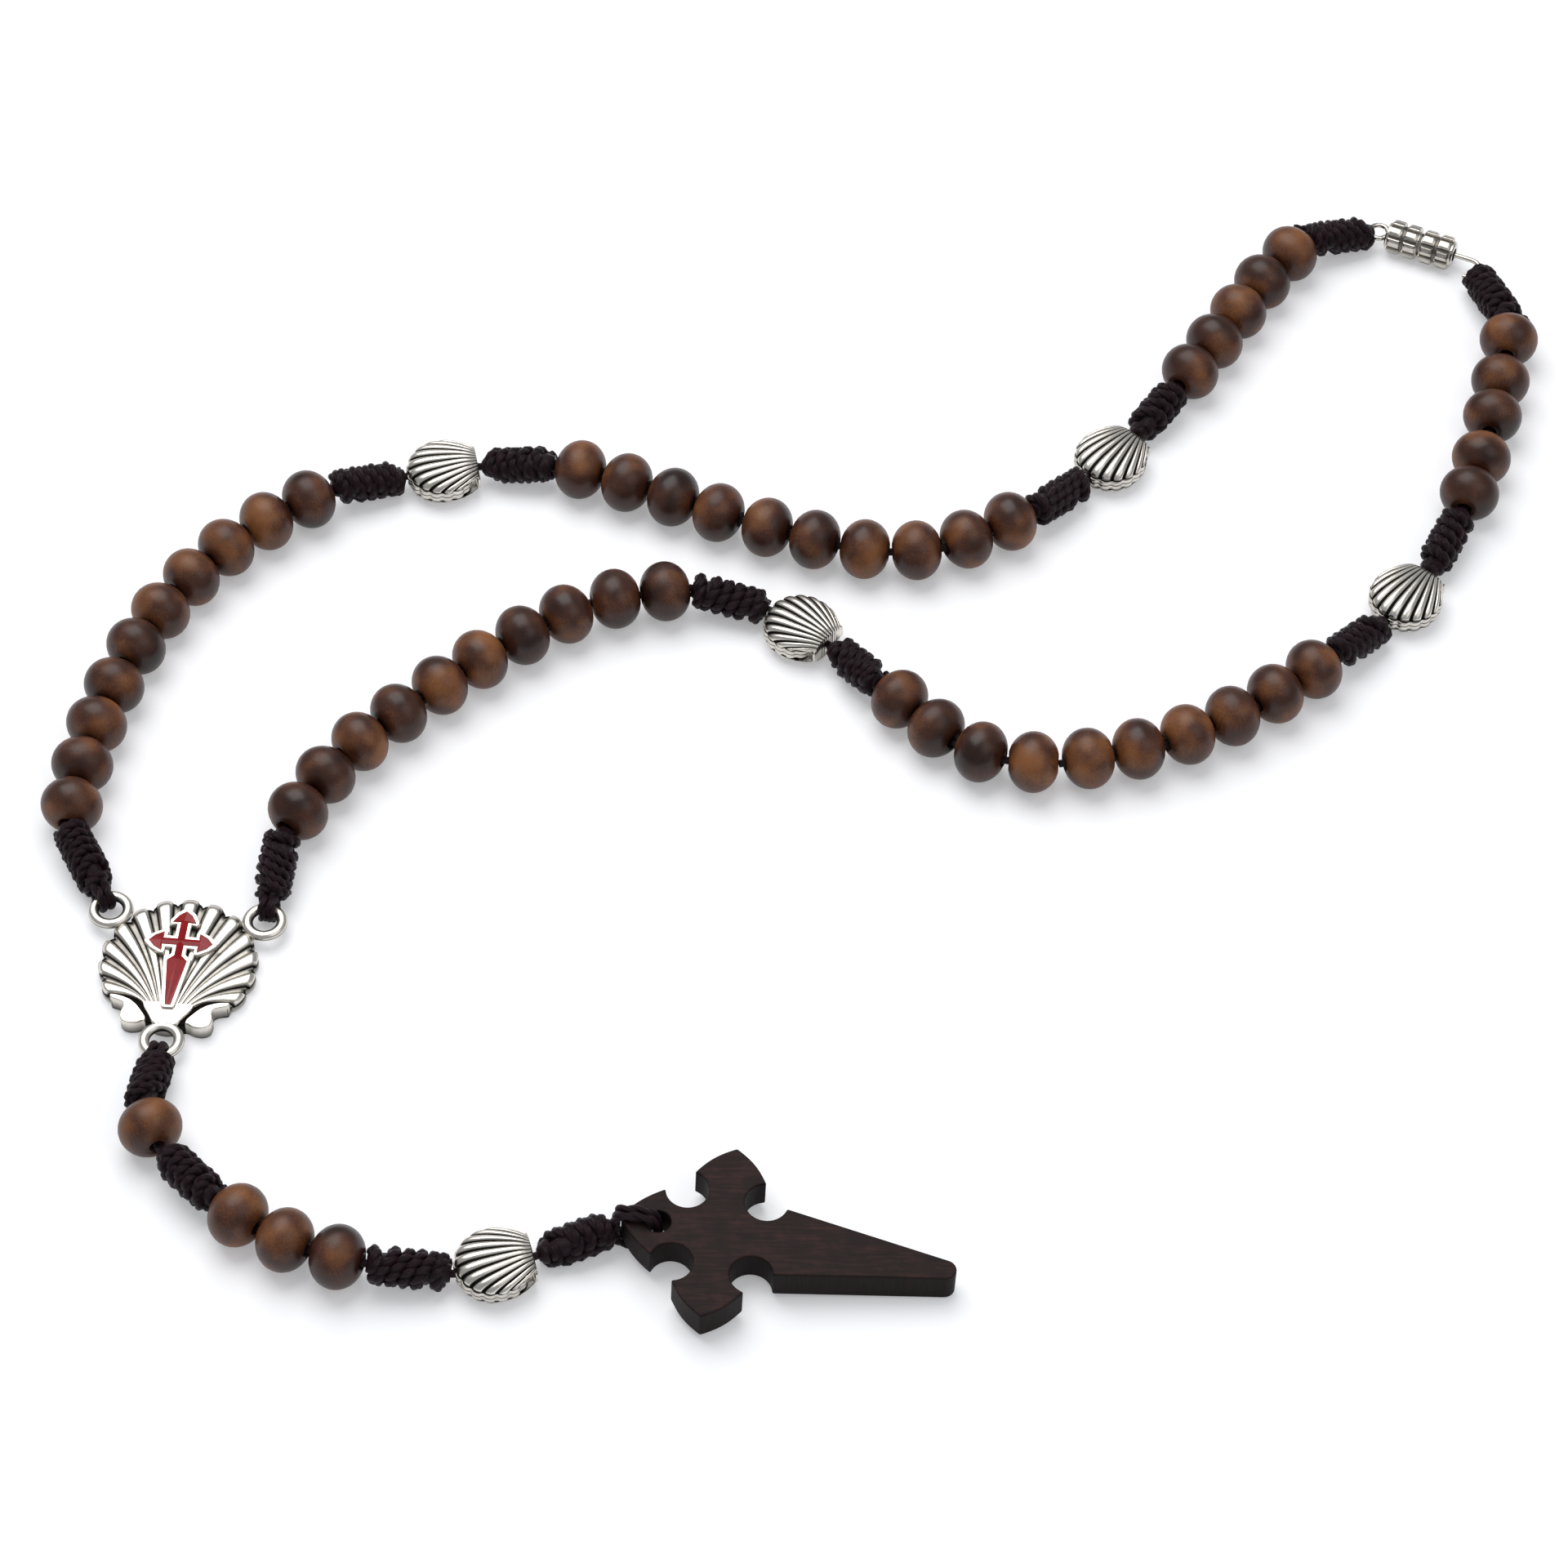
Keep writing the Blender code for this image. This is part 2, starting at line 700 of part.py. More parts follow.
def make_medal(collection, cutters, silver, red):
    turn = Matrix.Rotation(math.radians(MEDAL_TURN), 3, "Z")
    plate = flat_curve(collection, "medal", medal_outline(), MEDAL_THICKNESS / 2, silver)
    medal = as_mesh(collection, plate)
    put(medal, Vector((0.0, 0.0, MEDAL_THICKNESS / 2)), turn)
    for name, centre in zip(("left", "right", "lower"), eyelet_centres()):
        place = centre + Vector((0.0, 0.0, EYELET_HEIGHT))
        ring = torus(
            cutters, f"{name}_eyelet", EYELET_RADIUS, EYELET_WIRE / 2, silver, place, Matrix.Identity(3)
        )
        boolean(medal, ring, "UNION")
    outline = grown(enamel_outline(), FIT)
    recess = flat_curve(cutters, "enamel_recess", outline, ENAMEL_DEPTH, silver)
    recess = as_mesh(cutters, recess)
    put(recess, Vector((0.0, 0.0, MEDAL_THICKNESS)), turn)
    boolean(medal, recess, "DIFFERENCE")
    half = (ENAMEL_DEPTH - FIT) / 2
    enamel = flat_curve(collection, "enamel_cross", enamel_outline(), half, red)
    put(enamel, Vector((0.0, 0.0, MEDAL_THICKNESS - half)), turn)
    return medal


# ---------------------------------------------------------------- wooden cross


def cross_outline():
    """Outline of the cross from its tip at the cord, with +X towards the blade's end."""
    across = NOTCH_ACROSS
    first = CROSS_JUNCTION - NOTCH_ALONG
    second = CROSS_JUNCTION + NOTCH_ALONG
    half_end = BLADE_END_WIDTH / 2
    half = [
        *arc(first, across, NOTCH_RADIUS, 190.0, 440.0, 12),
        (CROSS_JUNCTION, CROSS_SPAN / 2),
        *arc(second, across, NOTCH_RADIUS, 100.0, 350.0, 12),
        *arc(CROSS_LENGTH - half_end, 0.0, half_end, 80.0, 20.0, 3),
    ]
    return [(0.0, 0.0), *half, (CROSS_LENGTH, 0.0), *[(x, -y) for x, y in reversed(half)]]


def make_cross(collection, cutters, hole_place, wood, parent):
    """The cross lies with its far end on the table and its near end on the cord's loop."""
    outline = [(x - CROSS_HOLE_FROM_TIP, y) for x, y in cross_outline()]
    blank = flat_curve(collection, "wooden_cross", outline, CROSS_THICKNESS / 2, wood)
    cross = as_mesh(collection, blank)
    far = CROSS_LENGTH - CROSS_HOLE_FROM_TIP
    tilt = Matrix.Rotation(CROSS_TILT, 3, "Y")
    turn = Matrix.Rotation(math.radians(CROSS_TURN), 3, "Z") @ tilt
    height = far * math.sin(CROSS_TILT) + CROSS_THICKNESS / 2 * math.cos(CROSS_TILT)
    place = Vector((hole_place.x, hole_place.y, height))
    put(cross, place, turn, parent)
    hole = cylinder(cutters, "cross_hole", CROSS_HOLE / 2, 3 * CROSS_THICKNESS, 16, wood)
    put(hole, place, turn, parent)
    boolean(cross, hole, "DIFFERENCE")
    return cross


# ---------------------------------------------------------------- clasp


def clasp_profile():
    """Half of the barrel: the hole for the bail, the outside down to the face, the magnet's pocket."""
    outer = CLASP_DIAMETER / 2
    core = outer - CLASP_RING_HEIGHT
    length = CLASP_HALF_LENGTH
    hole = BAIL_WIRE + BAIL_LEG_GAP / 2 + MAGNET_PLAY
    pocket = MAGNET_DIAMETER / 2 + MAGNET_PLAY
    depth = MAGNET_LENGTH + 2 * MAGNET_PLAY
    chamfer = 0.25 * MM
    ring = 0.2 * length
    profile = [(0.0, length - BAIL_SEAT), (hole, length - BAIL_SEAT), (hole, length)]
    profile += [(core - chamfer, length), (core, length - chamfer)]
    for top in (0.76 * length, 0.4 * length):
        profile += [(core, top), (outer, top), (outer, top - ring), (core, top - ring)]
    return profile + [(core, chamfer), (core - chamfer, 0.0), (pocket, 0.0), (pocket, depth), (0.0, depth)]


def left_bail_points():
    """A closed wire loop: both ends stand side by side in the half's hole."""
    leg = (BAIL_WIRE + BAIL_LEG_GAP) / 2
    end = CLASP_HALF_LENGTH
    seat = end - BAIL_SEAT + MAGNET_PLAY
    loop = arc(0.0, end + LEFT_BAIL_CENTRE.y, LEFT_BAIL_RADIUS, -35.0, 215.0, 13)
    flat = [(leg, seat), (leg, end), *loop, (-leg, end), (-leg, seat)]
    return [(x, 0.0, z) for x, z in flat]


def right_bail_points():
    """A wire loop that has sprung open: one end in the half's hole, and the other cut and free."""
    end = CLASP_HALF_LENGTH
    seat = end - BAIL_SEAT + MAGNET_PLAY
    centre = RIGHT_BAIL_CENTRE
    loop = arc(centre.x, end + centre.y, RIGHT_BAIL_RADIUS, 0.0, 185.0, 11)
    foot = centre.x + RIGHT_BAIL_RADIUS
    flat = [(foot, seat), (foot, end), *loop]
    return [(x, 0.0, z) for x, z in flat]


def make_clasp_half(collection, side, middle, outwards, metal, steel, parent):
    rotation = basis_along(outwards)
    face = middle + outwards * GAP / 2
    half = turned(collection, f"clasp_{side}_half", clasp_profile(), 16, metal)
    put(half, face, rotation, parent)
    points = left_bail_points() if side == "left" else right_bail_points()
    bail = tube_curve(collection, f"clasp_{side}_bail", points, [BAIL_WIRE / 2] * len(points), metal)
    put(bail, face, rotation, parent)
    magnet = cylinder(
        collection, f"clasp_{side}_magnet", MAGNET_DIAMETER / 2, MAGNET_LENGTH, 12, steel
    )
    put(magnet, face + outwards * (MAGNET_PLAY + MAGNET_LENGTH / 2), rotation, parent)


# ---------------------------------------------------------------- assembly


def hinge_axis(strand, number, opening):
    """Upright at the eyelet and inside a decade, and level, to lift, after a shell."""
    if number == 0 or strand.links[number - 1][-1].kind != "shell":
        return Vector((0.0, 0.0, opening))
    along = strand.links[number - 1][-1].direction
    return along.cross(Vector((0.0, 0.0, 1.0))).normalized()


def make_strand(collection, cutters, strand, opening, wood, silver, cord):
    """Builds a strand's links from the medal outwards and returns the last hinge and cord."""
    parent = None
    link = None
    bead = 0
    shell = 0
    for number, items in enumerate(strand.links):
        axis = hinge_axis(strand, number, opening)
        name = f"{strand.name}_hinge_{number + 1}"
        parent = hinge(collection, name, strand.pivots[number], axis, parent)
        link = make_cord(collection, strand, number, cord, parent)
        if number == 0:
            away = (items[0].low - strand.pivots[0]).to_2d().to_3d().normalized()
            eye = strand.pivots[0] + away * EYELET_RADIUS
            add_eye(cutters, link, eye, away, EYE_RADIUS, cord)
        for item in items:
            if item.kind == "shell":
                shell += 1
                make_shell(collection, cutters, f"{strand.name}_shell_{shell}", item, silver, parent)
            elif not item.is_knot:
                numbers = range(bead + 1, bead + item.kind + 1)
                bead += item.kind
                kind = "beads" if item.kind > 1 else "bead"
                label = "_".join(f"{n:02d}" for n in numbers)
                make_beads(collection, f"{strand.name}_{kind}_{label}", item, wood, parent)
    return parent, link


def cross_loop(cutters, link, strand, material):
    """The cord's loop through the cross's hole and round its tip."""
    last = strand.links[-1][-1]
    away = rotate_flat((1.0, 0.0), CROSS_TURN)
    near = last.high - last.direction * KNOT_SHOULDER
    hole = cross_hole_place(strand)
    top = CROSS_THICKNESS + CROSS_LENGTH * math.sin(CROSS_TILT) + LINK_PLAY + CORD_DIAMETER / 2
    bottom = CORD_DIAMETER / 2 + TABLE_CLEARANCE
    middle = (top + bottom) / 2
    corner = 0.6 * CORD_DIAMETER
    tip = hole - away * (CROSS_HOLE_FROM_TIP + 0.4 * CROSS_LOOP_REACH)
    places = [
        (near, middle - 0.8 * MM), (tip, bottom), (hole - away * corner, bottom),
        (hole, bottom + corner), (hole, top - corner), (hole - away * corner, top),
        (tip, top), (near, middle + 0.8 * MM),
    ]
    points = [Vector((place.x, place.y, height)) for place, height in places]
    loop = tube_curve(
        cutters, "cross_loop", points, [CORD_DIAMETER / 2] * len(points), material, cyclic=True
    )
    boolean(link, as_mesh(cutters, loop), "UNION")


def cross_hole_place(strand):
    last = strand.links[-1][-1]
    away = rotate_flat((1.0, 0.0), CROSS_TURN)
    return last.high.to_2d().to_3d() + away * (CROSS_LOOP_REACH + CROSS_HOLE_FROM_TIP)


def main():
    clear_scene()
    parts = new_collection("rosary")
    cutters = new_collection("cutters")
    wood = new_material("stained_wood", (0.13, 0.055, 0.028), 0.0, 0.45)
    dark_wood = new_material("dark_wood", (0.035, 0.022, 0.018), 0.0, 0.6)
    silver = new_material("antique_silver", (0.68, 0.66, 0.62), 1.0, 0.3)
    enamel = new_material("red_enamel", (0.5, 0.01, 0.015), 0.0, 0.2)
    nylon = new_material("nylon_cord", (0.012, 0.007, 0.009), 0.0, 0.6)
    nickel = new_material("bright_nickel", (0.75, 0.73, 0.7), 1.0, 0.2)
    magnet = new_material("magnet_steel", (0.35, 0.35, 0.36), 1.0, 0.35)

    make_medal(parts, cutters, silver, enamel)
    scale = plan_scale()
    middle = CLASP_PLACE.to_3d() * scale
    middle.z = CLASP_HEIGHT
    for side, opening in (("left", 1.0), ("right", -1.0)):
        strand = side_strand(side, scale)
        parent, link = make_strand(parts, cutters, strand, opening, wood, silver, nylon)
        centre, eye, away = bail_eye(side, middle)
        add_eye(cutters, link, eye, away, BAIL_EYE_RADIUS, nylon)
        parent = hinge(parts, f"clasp_{side}_hinge", centre, Vector((0.0, 0.0, opening)), parent)
        outwards = rotate_flat((-1.0 if side == "left" else 1.0, 0.0), CLASP_TURN)
        make_clasp_half(parts, side, middle, outwards, nickel, magnet, parent)

    end_height = (CROSS_THICKNESS + CROSS_LIFT) / 2
    tail = Strand("tail", tail_route(), TAIL_LINKS, EYELET_HEIGHT, end_height, GAP)
    parent, link = make_strand(parts, cutters, tail, -1.0, wood, silver, nylon)
    cross_loop(cutters, link, tail, nylon)
    hole = cross_hole_place(tail)
    parent = hinge(parts, "cross_hinge", hole, Vector((0.0, 0.0, -1.0)), parent)
    make_cross(parts, cutters, hole, dark_wood, parent)


if __name__ == "__main__":
    main()
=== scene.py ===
# The cord rosary's finished pieces, laid out as an add-on and run as a script. Each operator makes one
# piece or one group of like pieces in the frame's own place, so that it rides on its body. The strands
# are read from the frame: every bead and shell turns on a joint that lies in its middle, and the knots
# fill the room between them.

import json
import math
from functools import partial

import bmesh
import bpy
import numpy as np
from bpy.props import FloatProperty, FloatVectorProperty, IntProperty, PointerProperty
from mathutils import Matrix, Vector, noise

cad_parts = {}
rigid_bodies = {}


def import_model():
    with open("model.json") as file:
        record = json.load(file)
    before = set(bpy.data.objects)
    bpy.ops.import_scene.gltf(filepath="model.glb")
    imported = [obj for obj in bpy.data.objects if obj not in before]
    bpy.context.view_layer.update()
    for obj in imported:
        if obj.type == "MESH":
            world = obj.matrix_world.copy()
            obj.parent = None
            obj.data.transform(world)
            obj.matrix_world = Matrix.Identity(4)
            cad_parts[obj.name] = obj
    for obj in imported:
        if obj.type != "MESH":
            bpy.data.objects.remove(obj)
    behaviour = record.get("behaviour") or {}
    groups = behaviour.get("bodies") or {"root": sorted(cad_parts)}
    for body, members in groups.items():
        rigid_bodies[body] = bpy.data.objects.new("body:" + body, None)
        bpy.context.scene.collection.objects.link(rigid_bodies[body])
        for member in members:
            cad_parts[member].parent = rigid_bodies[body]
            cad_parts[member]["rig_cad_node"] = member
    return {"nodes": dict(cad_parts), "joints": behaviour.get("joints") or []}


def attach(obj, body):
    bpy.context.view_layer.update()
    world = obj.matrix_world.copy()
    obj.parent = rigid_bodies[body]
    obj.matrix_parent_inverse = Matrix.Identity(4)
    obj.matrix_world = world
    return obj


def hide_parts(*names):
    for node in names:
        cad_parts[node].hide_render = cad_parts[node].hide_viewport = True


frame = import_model()

bl_info = {
    "name": "Cord Rosary",
    "version": (1, 0, 0),
    "blender": (4, 5, 0),
    "location": "3D View > Sidebar > Rosary",
    "description": "Makes a wooden rosary on knotted cord, with a scallop medal, a clasp and a cross",
    "category": "Add Mesh",
}

MM = 0.001
UP = Vector((0.0, 0.0, 1.0))
PLACES = {joint["name"]: Vector(joint["pos_m"]) for joint in frame["joints"]}
AXES = {joint["name"]: Vector(joint["axis"]) for joint in frame["joints"]}

# What each link carries, outwards from the medal. All but the knots are named after their CAD nodes.
STRANDS = {
    "left": (
        "knot beads_01_02 beads_03_04",
        "beads_05_06 beads_07_08 beads_09_10 knot shell_1",
        "knot beads_11_12 beads_13_14",
        "beads_15_16 bead_17 bead_18 beads_19_20 knot shell_2",
        "knot beads_21_22 beads_23_24 bead_25 knot",
    ),
    "right": (
        "knot beads_01_02 beads_03_04",
        "beads_05_06 beads_07_08 beads_09_10 knot shell_1",
        "knot beads_11_12 bead_13 bead_14",
        "beads_15_16 beads_17_18 beads_19_20 knot shell_2",
        "knot beads_21_22 beads_23_24 bead_25 knot",
    ),
    "tail": ("knot bead_01", "knot bead_02 bead_03 bead_04 knot shell_1", "knot"),
}

# Sizes shared with the CAD model
BEAD_PITCH = 6.7 * MM  # from one bead to the next on a body that holds two
BEAD_NODE_LENGTH = 6.4 * MM  # of a body that holds one
SHELL_LENGTH = 9.6 * MM
SHELL_THICKNESS = 4.8 * MM
KNOT_GAP = 0.2 * MM
LINK_GAP = 0.5 * MM  # where two links meet
LINE_OVERLAP = 0.2 * MM  # how far a link's line runs into the link before it
LINE_SHORT = 0.45 * MM  # how far before its link's end it stops
KNOT_START = 3.15 * MM  # from an eyelet's middle
ROOM_TO_BEND = 0.3 * MM  # more room before a knot at the start of a link
EYELET_RADIUS = 2.25 * MM
EYE_RADIUS = 1.3 * MM  # of the cord's loop round an eyelet
CLASP_TURN = -23.9  # degrees, as are the turns, tilts and leans below
CLASP_HALF_LENGTH = 4.75 * MM
# Each bail's loop: its radius, how far its middle lies across the half and beyond its end, and how the
# cord leans away from it
BAILS = {
    "left": {"radius": 1.3 * MM, "across": 0.0, "beyond": 1.3 * MM, "lean": 19.0},
    "right": {"radius": 1.7 * MM, "across": -1.7 * MM, "beyond": 2.6 * MM, "lean": -20.0},
}
CROSS_TURN = -9.9
CROSS_TILT = 2.12
CROSS_LENGTH = 40.6 * MM
CROSS_SPAN = 24.4 * MM
CROSS_THICKNESS = 4.3 * MM
CROSS_JUNCTION = 11.85 * MM  # from the tip at the cord to the arms' middle line
CROSS_HOLE_FROM_TIP = 4.45 * MM
CROSS_LOOP_REACH = 1.0 * MM  # from the tip to the last knot
CROSS_KNOT_HEIGHT = 2.8 * MM  # of the last knot's end above the table

MERGE = 0.0005 * MM  # points nearer than this are joined
FLOOR_LIFT = 0.28  # how far the white card is lifted to white
TABLE_DEPTH = 0.03 * MM  # the table lies this far below the CAD model's underside
STAGE_MIDDLE = Vector((75.9, 31.2, 0.0)) * MM  # what the camera and the lamps are turned to
KNOT_STEPS = 30  # points on one turn of a knot
KNOT_SLACK = 0.06 * MM  # how unevenly the turns are wound
FINE_AT_RING = 0.92  # how coarse a knot's turns are at the medal, as a share of the settings' sizes
COARSE_ELSEWHERE = 1.12
PLY_OFFSET = 0.4  # of a ply's middle line from the cord's, as a share of the cord's radius
PLY_RADIUS = 0.62
BEAD_FULLNESS = 0.94  # exponent of a bead's curve, which is 1 on an oval
BEAD_UNEVENNESS = 0.008  # how far the turning strays, as a share of the radius


# ---------------------------------------------------------------- colour, nodes and meshes


def linear(hex_code):
    """A linear colour from an sRGB hex code."""
    channels = [int(hex_code[i : i + 2], 16) / 255 for i in (1, 3, 5)]
    return [c / 12.92 if c <= 0.04045 else ((c + 0.055) / 1.055) ** 2.4 for c in channels]


def add_node(tree, kind, feeds=None, stops=None, out=0, **settings):
    """Adds a node and returns one of its outputs, by name or number.

    feeds maps an input's name or number to a value or to the socket that feeds it.
    """
    node = tree.nodes.new("ShaderNode" + kind)
    for name, value in settings.items():
        setattr(node, name, value)
    for name, value in (feeds or {}).items():
        if isinstance(value, bpy.types.NodeSocket):
            tree.links.new(value, node.inputs[name])
        else:
            node.inputs[name].default_value = value
    for index, (place, colour) in enumerate(stops or []):
        elements = node.color_ramp.elements
        element = elements[index] if index < 2 else elements.new(place)
        element.position = place
        element.color = (*colour, 1.0)
    return node.outputs[out] if node.outputs else None


def start_material(name, **values):
    """A material with its shader's even values set, and a function that adds nodes to it.

    An underscore in an input's name stands for a space, here and in feed_shader.
    """
    material = bpy.data.materials.new(name)
    material.use_nodes = True
    shader = material.node_tree.nodes["Principled BSDF"]
    for socket, value in values.items():
        shader.inputs[socket.replace("_", " ")].default_value = value
    return material, partial(add_node, material.node_tree)


def feed_shader(material, bump=None, **feeds):
    """Links the shader's inputs. bump is (height socket, strength, depth in millimetres)."""
    tree = material.node_tree
    if bump:
        height, strength, depth = bump
        values = {"Height": height, "Strength": strength, "Distance": depth * MM}
        feeds["Normal"] = add_node(tree, "Bump", values)
    for name, socket in feeds.items():
        tree.links.new(socket, tree.nodes["Principled BSDF"].inputs[name.replace("_", " ")])
    return material


def add_object(name, data):
    obj = bpy.data.objects.new(name, data)
    bpy.context.scene.collection.objects.link(obj)
    return obj


def link_piece(data, name, material, body, stands_for):
    """Puts a finished mesh or curve in the scene as a piece that rides on its body."""
    obj = add_object(name, data)
    data.materials.clear()
    data.materials.append(material)
    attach(obj, body)
    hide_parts(stands_for)
    return obj


def mesh_from(bm, name, smooth=True):
    """Closes the seams of a bmesh, turns its faces outwards and makes it a mesh."""
    bmesh.ops.remove_doubles(bm, verts=bm.verts, dist=MERGE)
    bmesh.ops.recalc_face_normals(bm, faces=bm.faces)
    for face in bm.faces:
        face.smooth = smooth
    mesh = bpy.data.meshes.new(name)
    bm.to_mesh(mesh)
    bm.free()
    return mesh


def baked(obj):
    """The object's mesh with its modifiers applied, and without the object."""
    bpy.context.view_layer.update()
    graph = bpy.context.evaluated_depsgraph_get()
    mesh = bpy.data.meshes.new_from_object(obj.evaluated_get(graph))
    bpy.data.objects.remove(obj, do_unlink=True)
    return mesh


def combine(mesh, others, operation):
    """A solid with the others joined to it or cut out of it."""
    base = add_object("base", mesh)
    tools = [add_object("tool", other) for other in others]
    for tool in tools:
        modifier = base.modifiers.new("tool", "BOOLEAN")
        modifier.operation = operation
        modifier.object = tool
    made = baked(base)
    for tool in tools:
        bpy.data.objects.remove(tool, do_unlink=True)
    return made


def move(bm, matrix):
    bmesh.ops.transform(bm, matrix=matrix, verts=bm.verts)


def spin_round(bm, steps):
    """Turns all that a bmesh holds once about Z."""
    bmesh.ops.spin(
        bm, geom=bm.verts[:] + bm.edges[:], cent=(0, 0, 0), axis=(0, 0, 1), angle=2 * math.pi,
        steps=steps, use_merge=True, use_duplicate=False,
    )


def turned(profile, steps, closed=False):
    """A bmesh turned about Z from a profile of (radius, height)."""
    bm = bmesh.new()
    points = [bm.verts.new((radius, 0.0, height)) for radius, height in profile]
    for pair in zip(points, points[1:] + points[: int(closed)]):
        bm.edges.new(pair)
    spin_round(bm, steps)
    return bm


def cylinder(diameter, depth, segments):
    bm = bmesh.new()
    sizes = {"radius1": diameter / 2, "radius2": diameter / 2, "depth": depth}
    bmesh.ops.create_cone(bm, cap_ends=True, segments=segments, **sizes)
    return bm


def raise_in_steps(bm, faces, steps):
    """Raises the faces in steps of (inset, rise), which rounds or bevels their edge."""
    for inset, rise in steps:
        bmesh.ops.inset_region(
            bm, faces=faces, thickness=inset, depth=rise, use_even_offset=True, use_boundary=True
        )


def blacken(bm, shade):
    """Stores the patina that shade(place) gives on every point."""
    patina = bm.verts.layers.float.new("patina")
    for vert in bm.verts:
        vert[patina] = shade(vert.co)


def basis_along(direction, up=UP):
    """Rotation whose Z lies along direction and whose Y points as far up as it can."""
    z = direction.normalized()
    x = up.cross(z).normalized()
    return Matrix((x, z.cross(x), z)).transposed()


def placement(place, rotation):
    return Matrix.Translation(place) @ rotation.to_4x4()


def turned_flat(vector, degrees):
    return Matrix.Rotation(math.radians(degrees), 3, "Z") @ Vector((vector[0], vector[1], 0.0))


def smooth_step(value, low, high):
    share = min(max((value - low) / (high - low), 0.0), 1.0)
    return share * share * (3 - 2 * share)


def smooth_path(points, steps):
    """Points along a Catmull-Rom curve through the given points."""
    points = [np.array(p, float) for p in points]
    padded = [2 * points[0] - points[1], *points, 2 * points[-1] - points[-2]]
    path = []
    for a, b, c, d in zip(padded, padded[1:], padded[2:], padded[3:]):
        for t in np.arange(steps) / steps:
            path.append(
                b + 0.5 * t * (c - a + t * (2 * a - 5 * b + 4 * c - d + t * (3 * (b - c) + d - a)))
            )
    return np.array(path + [points[-1]])


def arc(x, y, radius, first, last, count):
    """Points on an arc, with its ends in degrees."""
    angles = np.radians(np.linspace(first, last, count))
    return [(x + radius * math.cos(a), y + radius * math.sin(a)) for a in angles]


# ---------------------------------------------------------------- strands


class Item:
    """A bead group, a shell or a knot, with its two ends on the strand's line."""

    def __init__(self, side, kind):
        self.kind = kind.split("_")[0]
        self.node = None if self.kind == "knot" else f"{side}_{kind}"
        self.low = self.high = None
        if self.node:
            half = SHELL_LENGTH / 2
            if self.kind != "shell":
                half = (BEAD_NODE_LENGTH + BEAD_PITCH * (self.kind == "beads")) / 2
            middle = PLACES[self.node + "_turn"]
            along = AXES[self.node + "_turn"]
            self.low = middle - along * half
            self.high = middle + along * half

    @property
    def direction(self):
        return (self.high - self.low).normalized()

    @property
    def middle(self):
        return (self.low + self.high) / 2


def clasp_outwards(side):
    """The direction from the clasp's seam along one half."""
    return turned_flat((-1.0 if side == "left" else 1.0, 0.0), CLASP_TURN)


def strand_links(side):
    """The items of each link of a strand, with the knots' ends worked out from their neighbours."""
    links = [[Item(side, kind) for kind in link.split()] for link in STRANDS[side]]
    chain = [(number, item) for number, link in enumerate(links) for item in link]
    for index, (number, item) in enumerate(chain):
        if item.node:
            continue
        after = chain[index + 1][1] if index + 1 < len(chain) else None
        if index == 0:
            ring = PLACES[f"{side}_link_1_bend"]
            item.low = ring.lerp(after.low, KNOT_START / (after.low - ring).length)
        else:
            before_number, before = chain[index - 1]
            gap = KNOT_GAP if before_number == number else LINK_GAP
            ahead = after.low if after else strand_end(side)
            item.low = before.high + (ahead - before.high).normalized() * gap
        if after:
            item.high = after.low - (after.low - item.low).normalized() * KNOT_GAP
        else:
            item.high = strand_end(side)
    return links


def strung(*kinds):
    """Every item of these kinds, in its order on the strands."""
    for side in STRANDS:
        for link in strand_links(side):
            yield from (item for item in link if item.kind in kinds)


def strand_end(side):
    """Where the strand's last knot ends, on the clasp's bail or before the cross's tip."""
    if side == "tail":
        hole = PLACES["cross_swing"]
        away = turned_flat((1.0, 0.0), CROSS_TURN)
        end = hole - away * (CROSS_HOLE_FROM_TIP + CROSS_LOOP_REACH)
        return Vector((end.x, end.y, CROSS_KNOT_HEIGHT))
    bail = BAILS[side]
    away = turned_flat(clasp_outwards(side), bail["lean"])
    return PLACES[f"clasp_{side}_swing"] + away * (bail["radius"] - 0.5 * MM)


# ---------------------------------------------------------------- settings


def length(name, description, default):
    return FloatProperty(name=name, description=description, default=default, unit="LENGTH", min=0.0)


def colour(name, description, hex_code):
    return FloatVectorProperty(
        name=name, description=description, default=linear(hex_code), subtype="COLOR", min=0.0, max=1.0
    )


class BeadSettings(bpy.types.PropertyGroup):
    diameter: length("Diameter", "Across a bead, square to its bore", 8.0 * MM)
    length: length("Length", "Along a bead's bore", 6.4 * MM)
    bore: length("Bore", "Diameter of the hole", 2.0 * MM)
    fibre: length("Fibre width", "Width of one streak of the grain", 0.16 * MM)
    dark: colour("Dark stain", "Where the stain sank in", "#220f08")
    middle: colour("Stain", "Most of the bead", "#45261a")
    light: colour("Light stain", "Where the wood shows through", "#83522d")


class CordSettings(bpy.types.PropertyGroup):
    diameter: length("Diameter", "Of the cord that the beads are strung on", 1.0 * MM)
    knot_diameter: length("Knot diameter", "Across a barrel knot", 5.1 * MM)
    wrap: length("Wrap", "Diameter of the doubled cord that is wound into the knots", 1.45 * MM)
    pitch: length("Pitch", "From one turn of a knot to the next", 1.34 * MM)
    colour: colour("Colour", "Of the nylon", "#190b11")


class SilverSettings(bpy.types.PropertyGroup):
    bright: colour("Bright", "Where the metal is polished", "#d9d4cb")
    patina: colour("Patina", "Left in the hollows", "#171513")
    rib_depth: length("Rib depth", "Of the medal's ribs at the rim", 0.72 * MM)
    enamel: colour("Enamel", "Of the medal's cross", "#8a0a13")
    shell_ribs: IntProperty(name="Shell ribs", description="Ribs on a scallop bead", default=14, min=3)


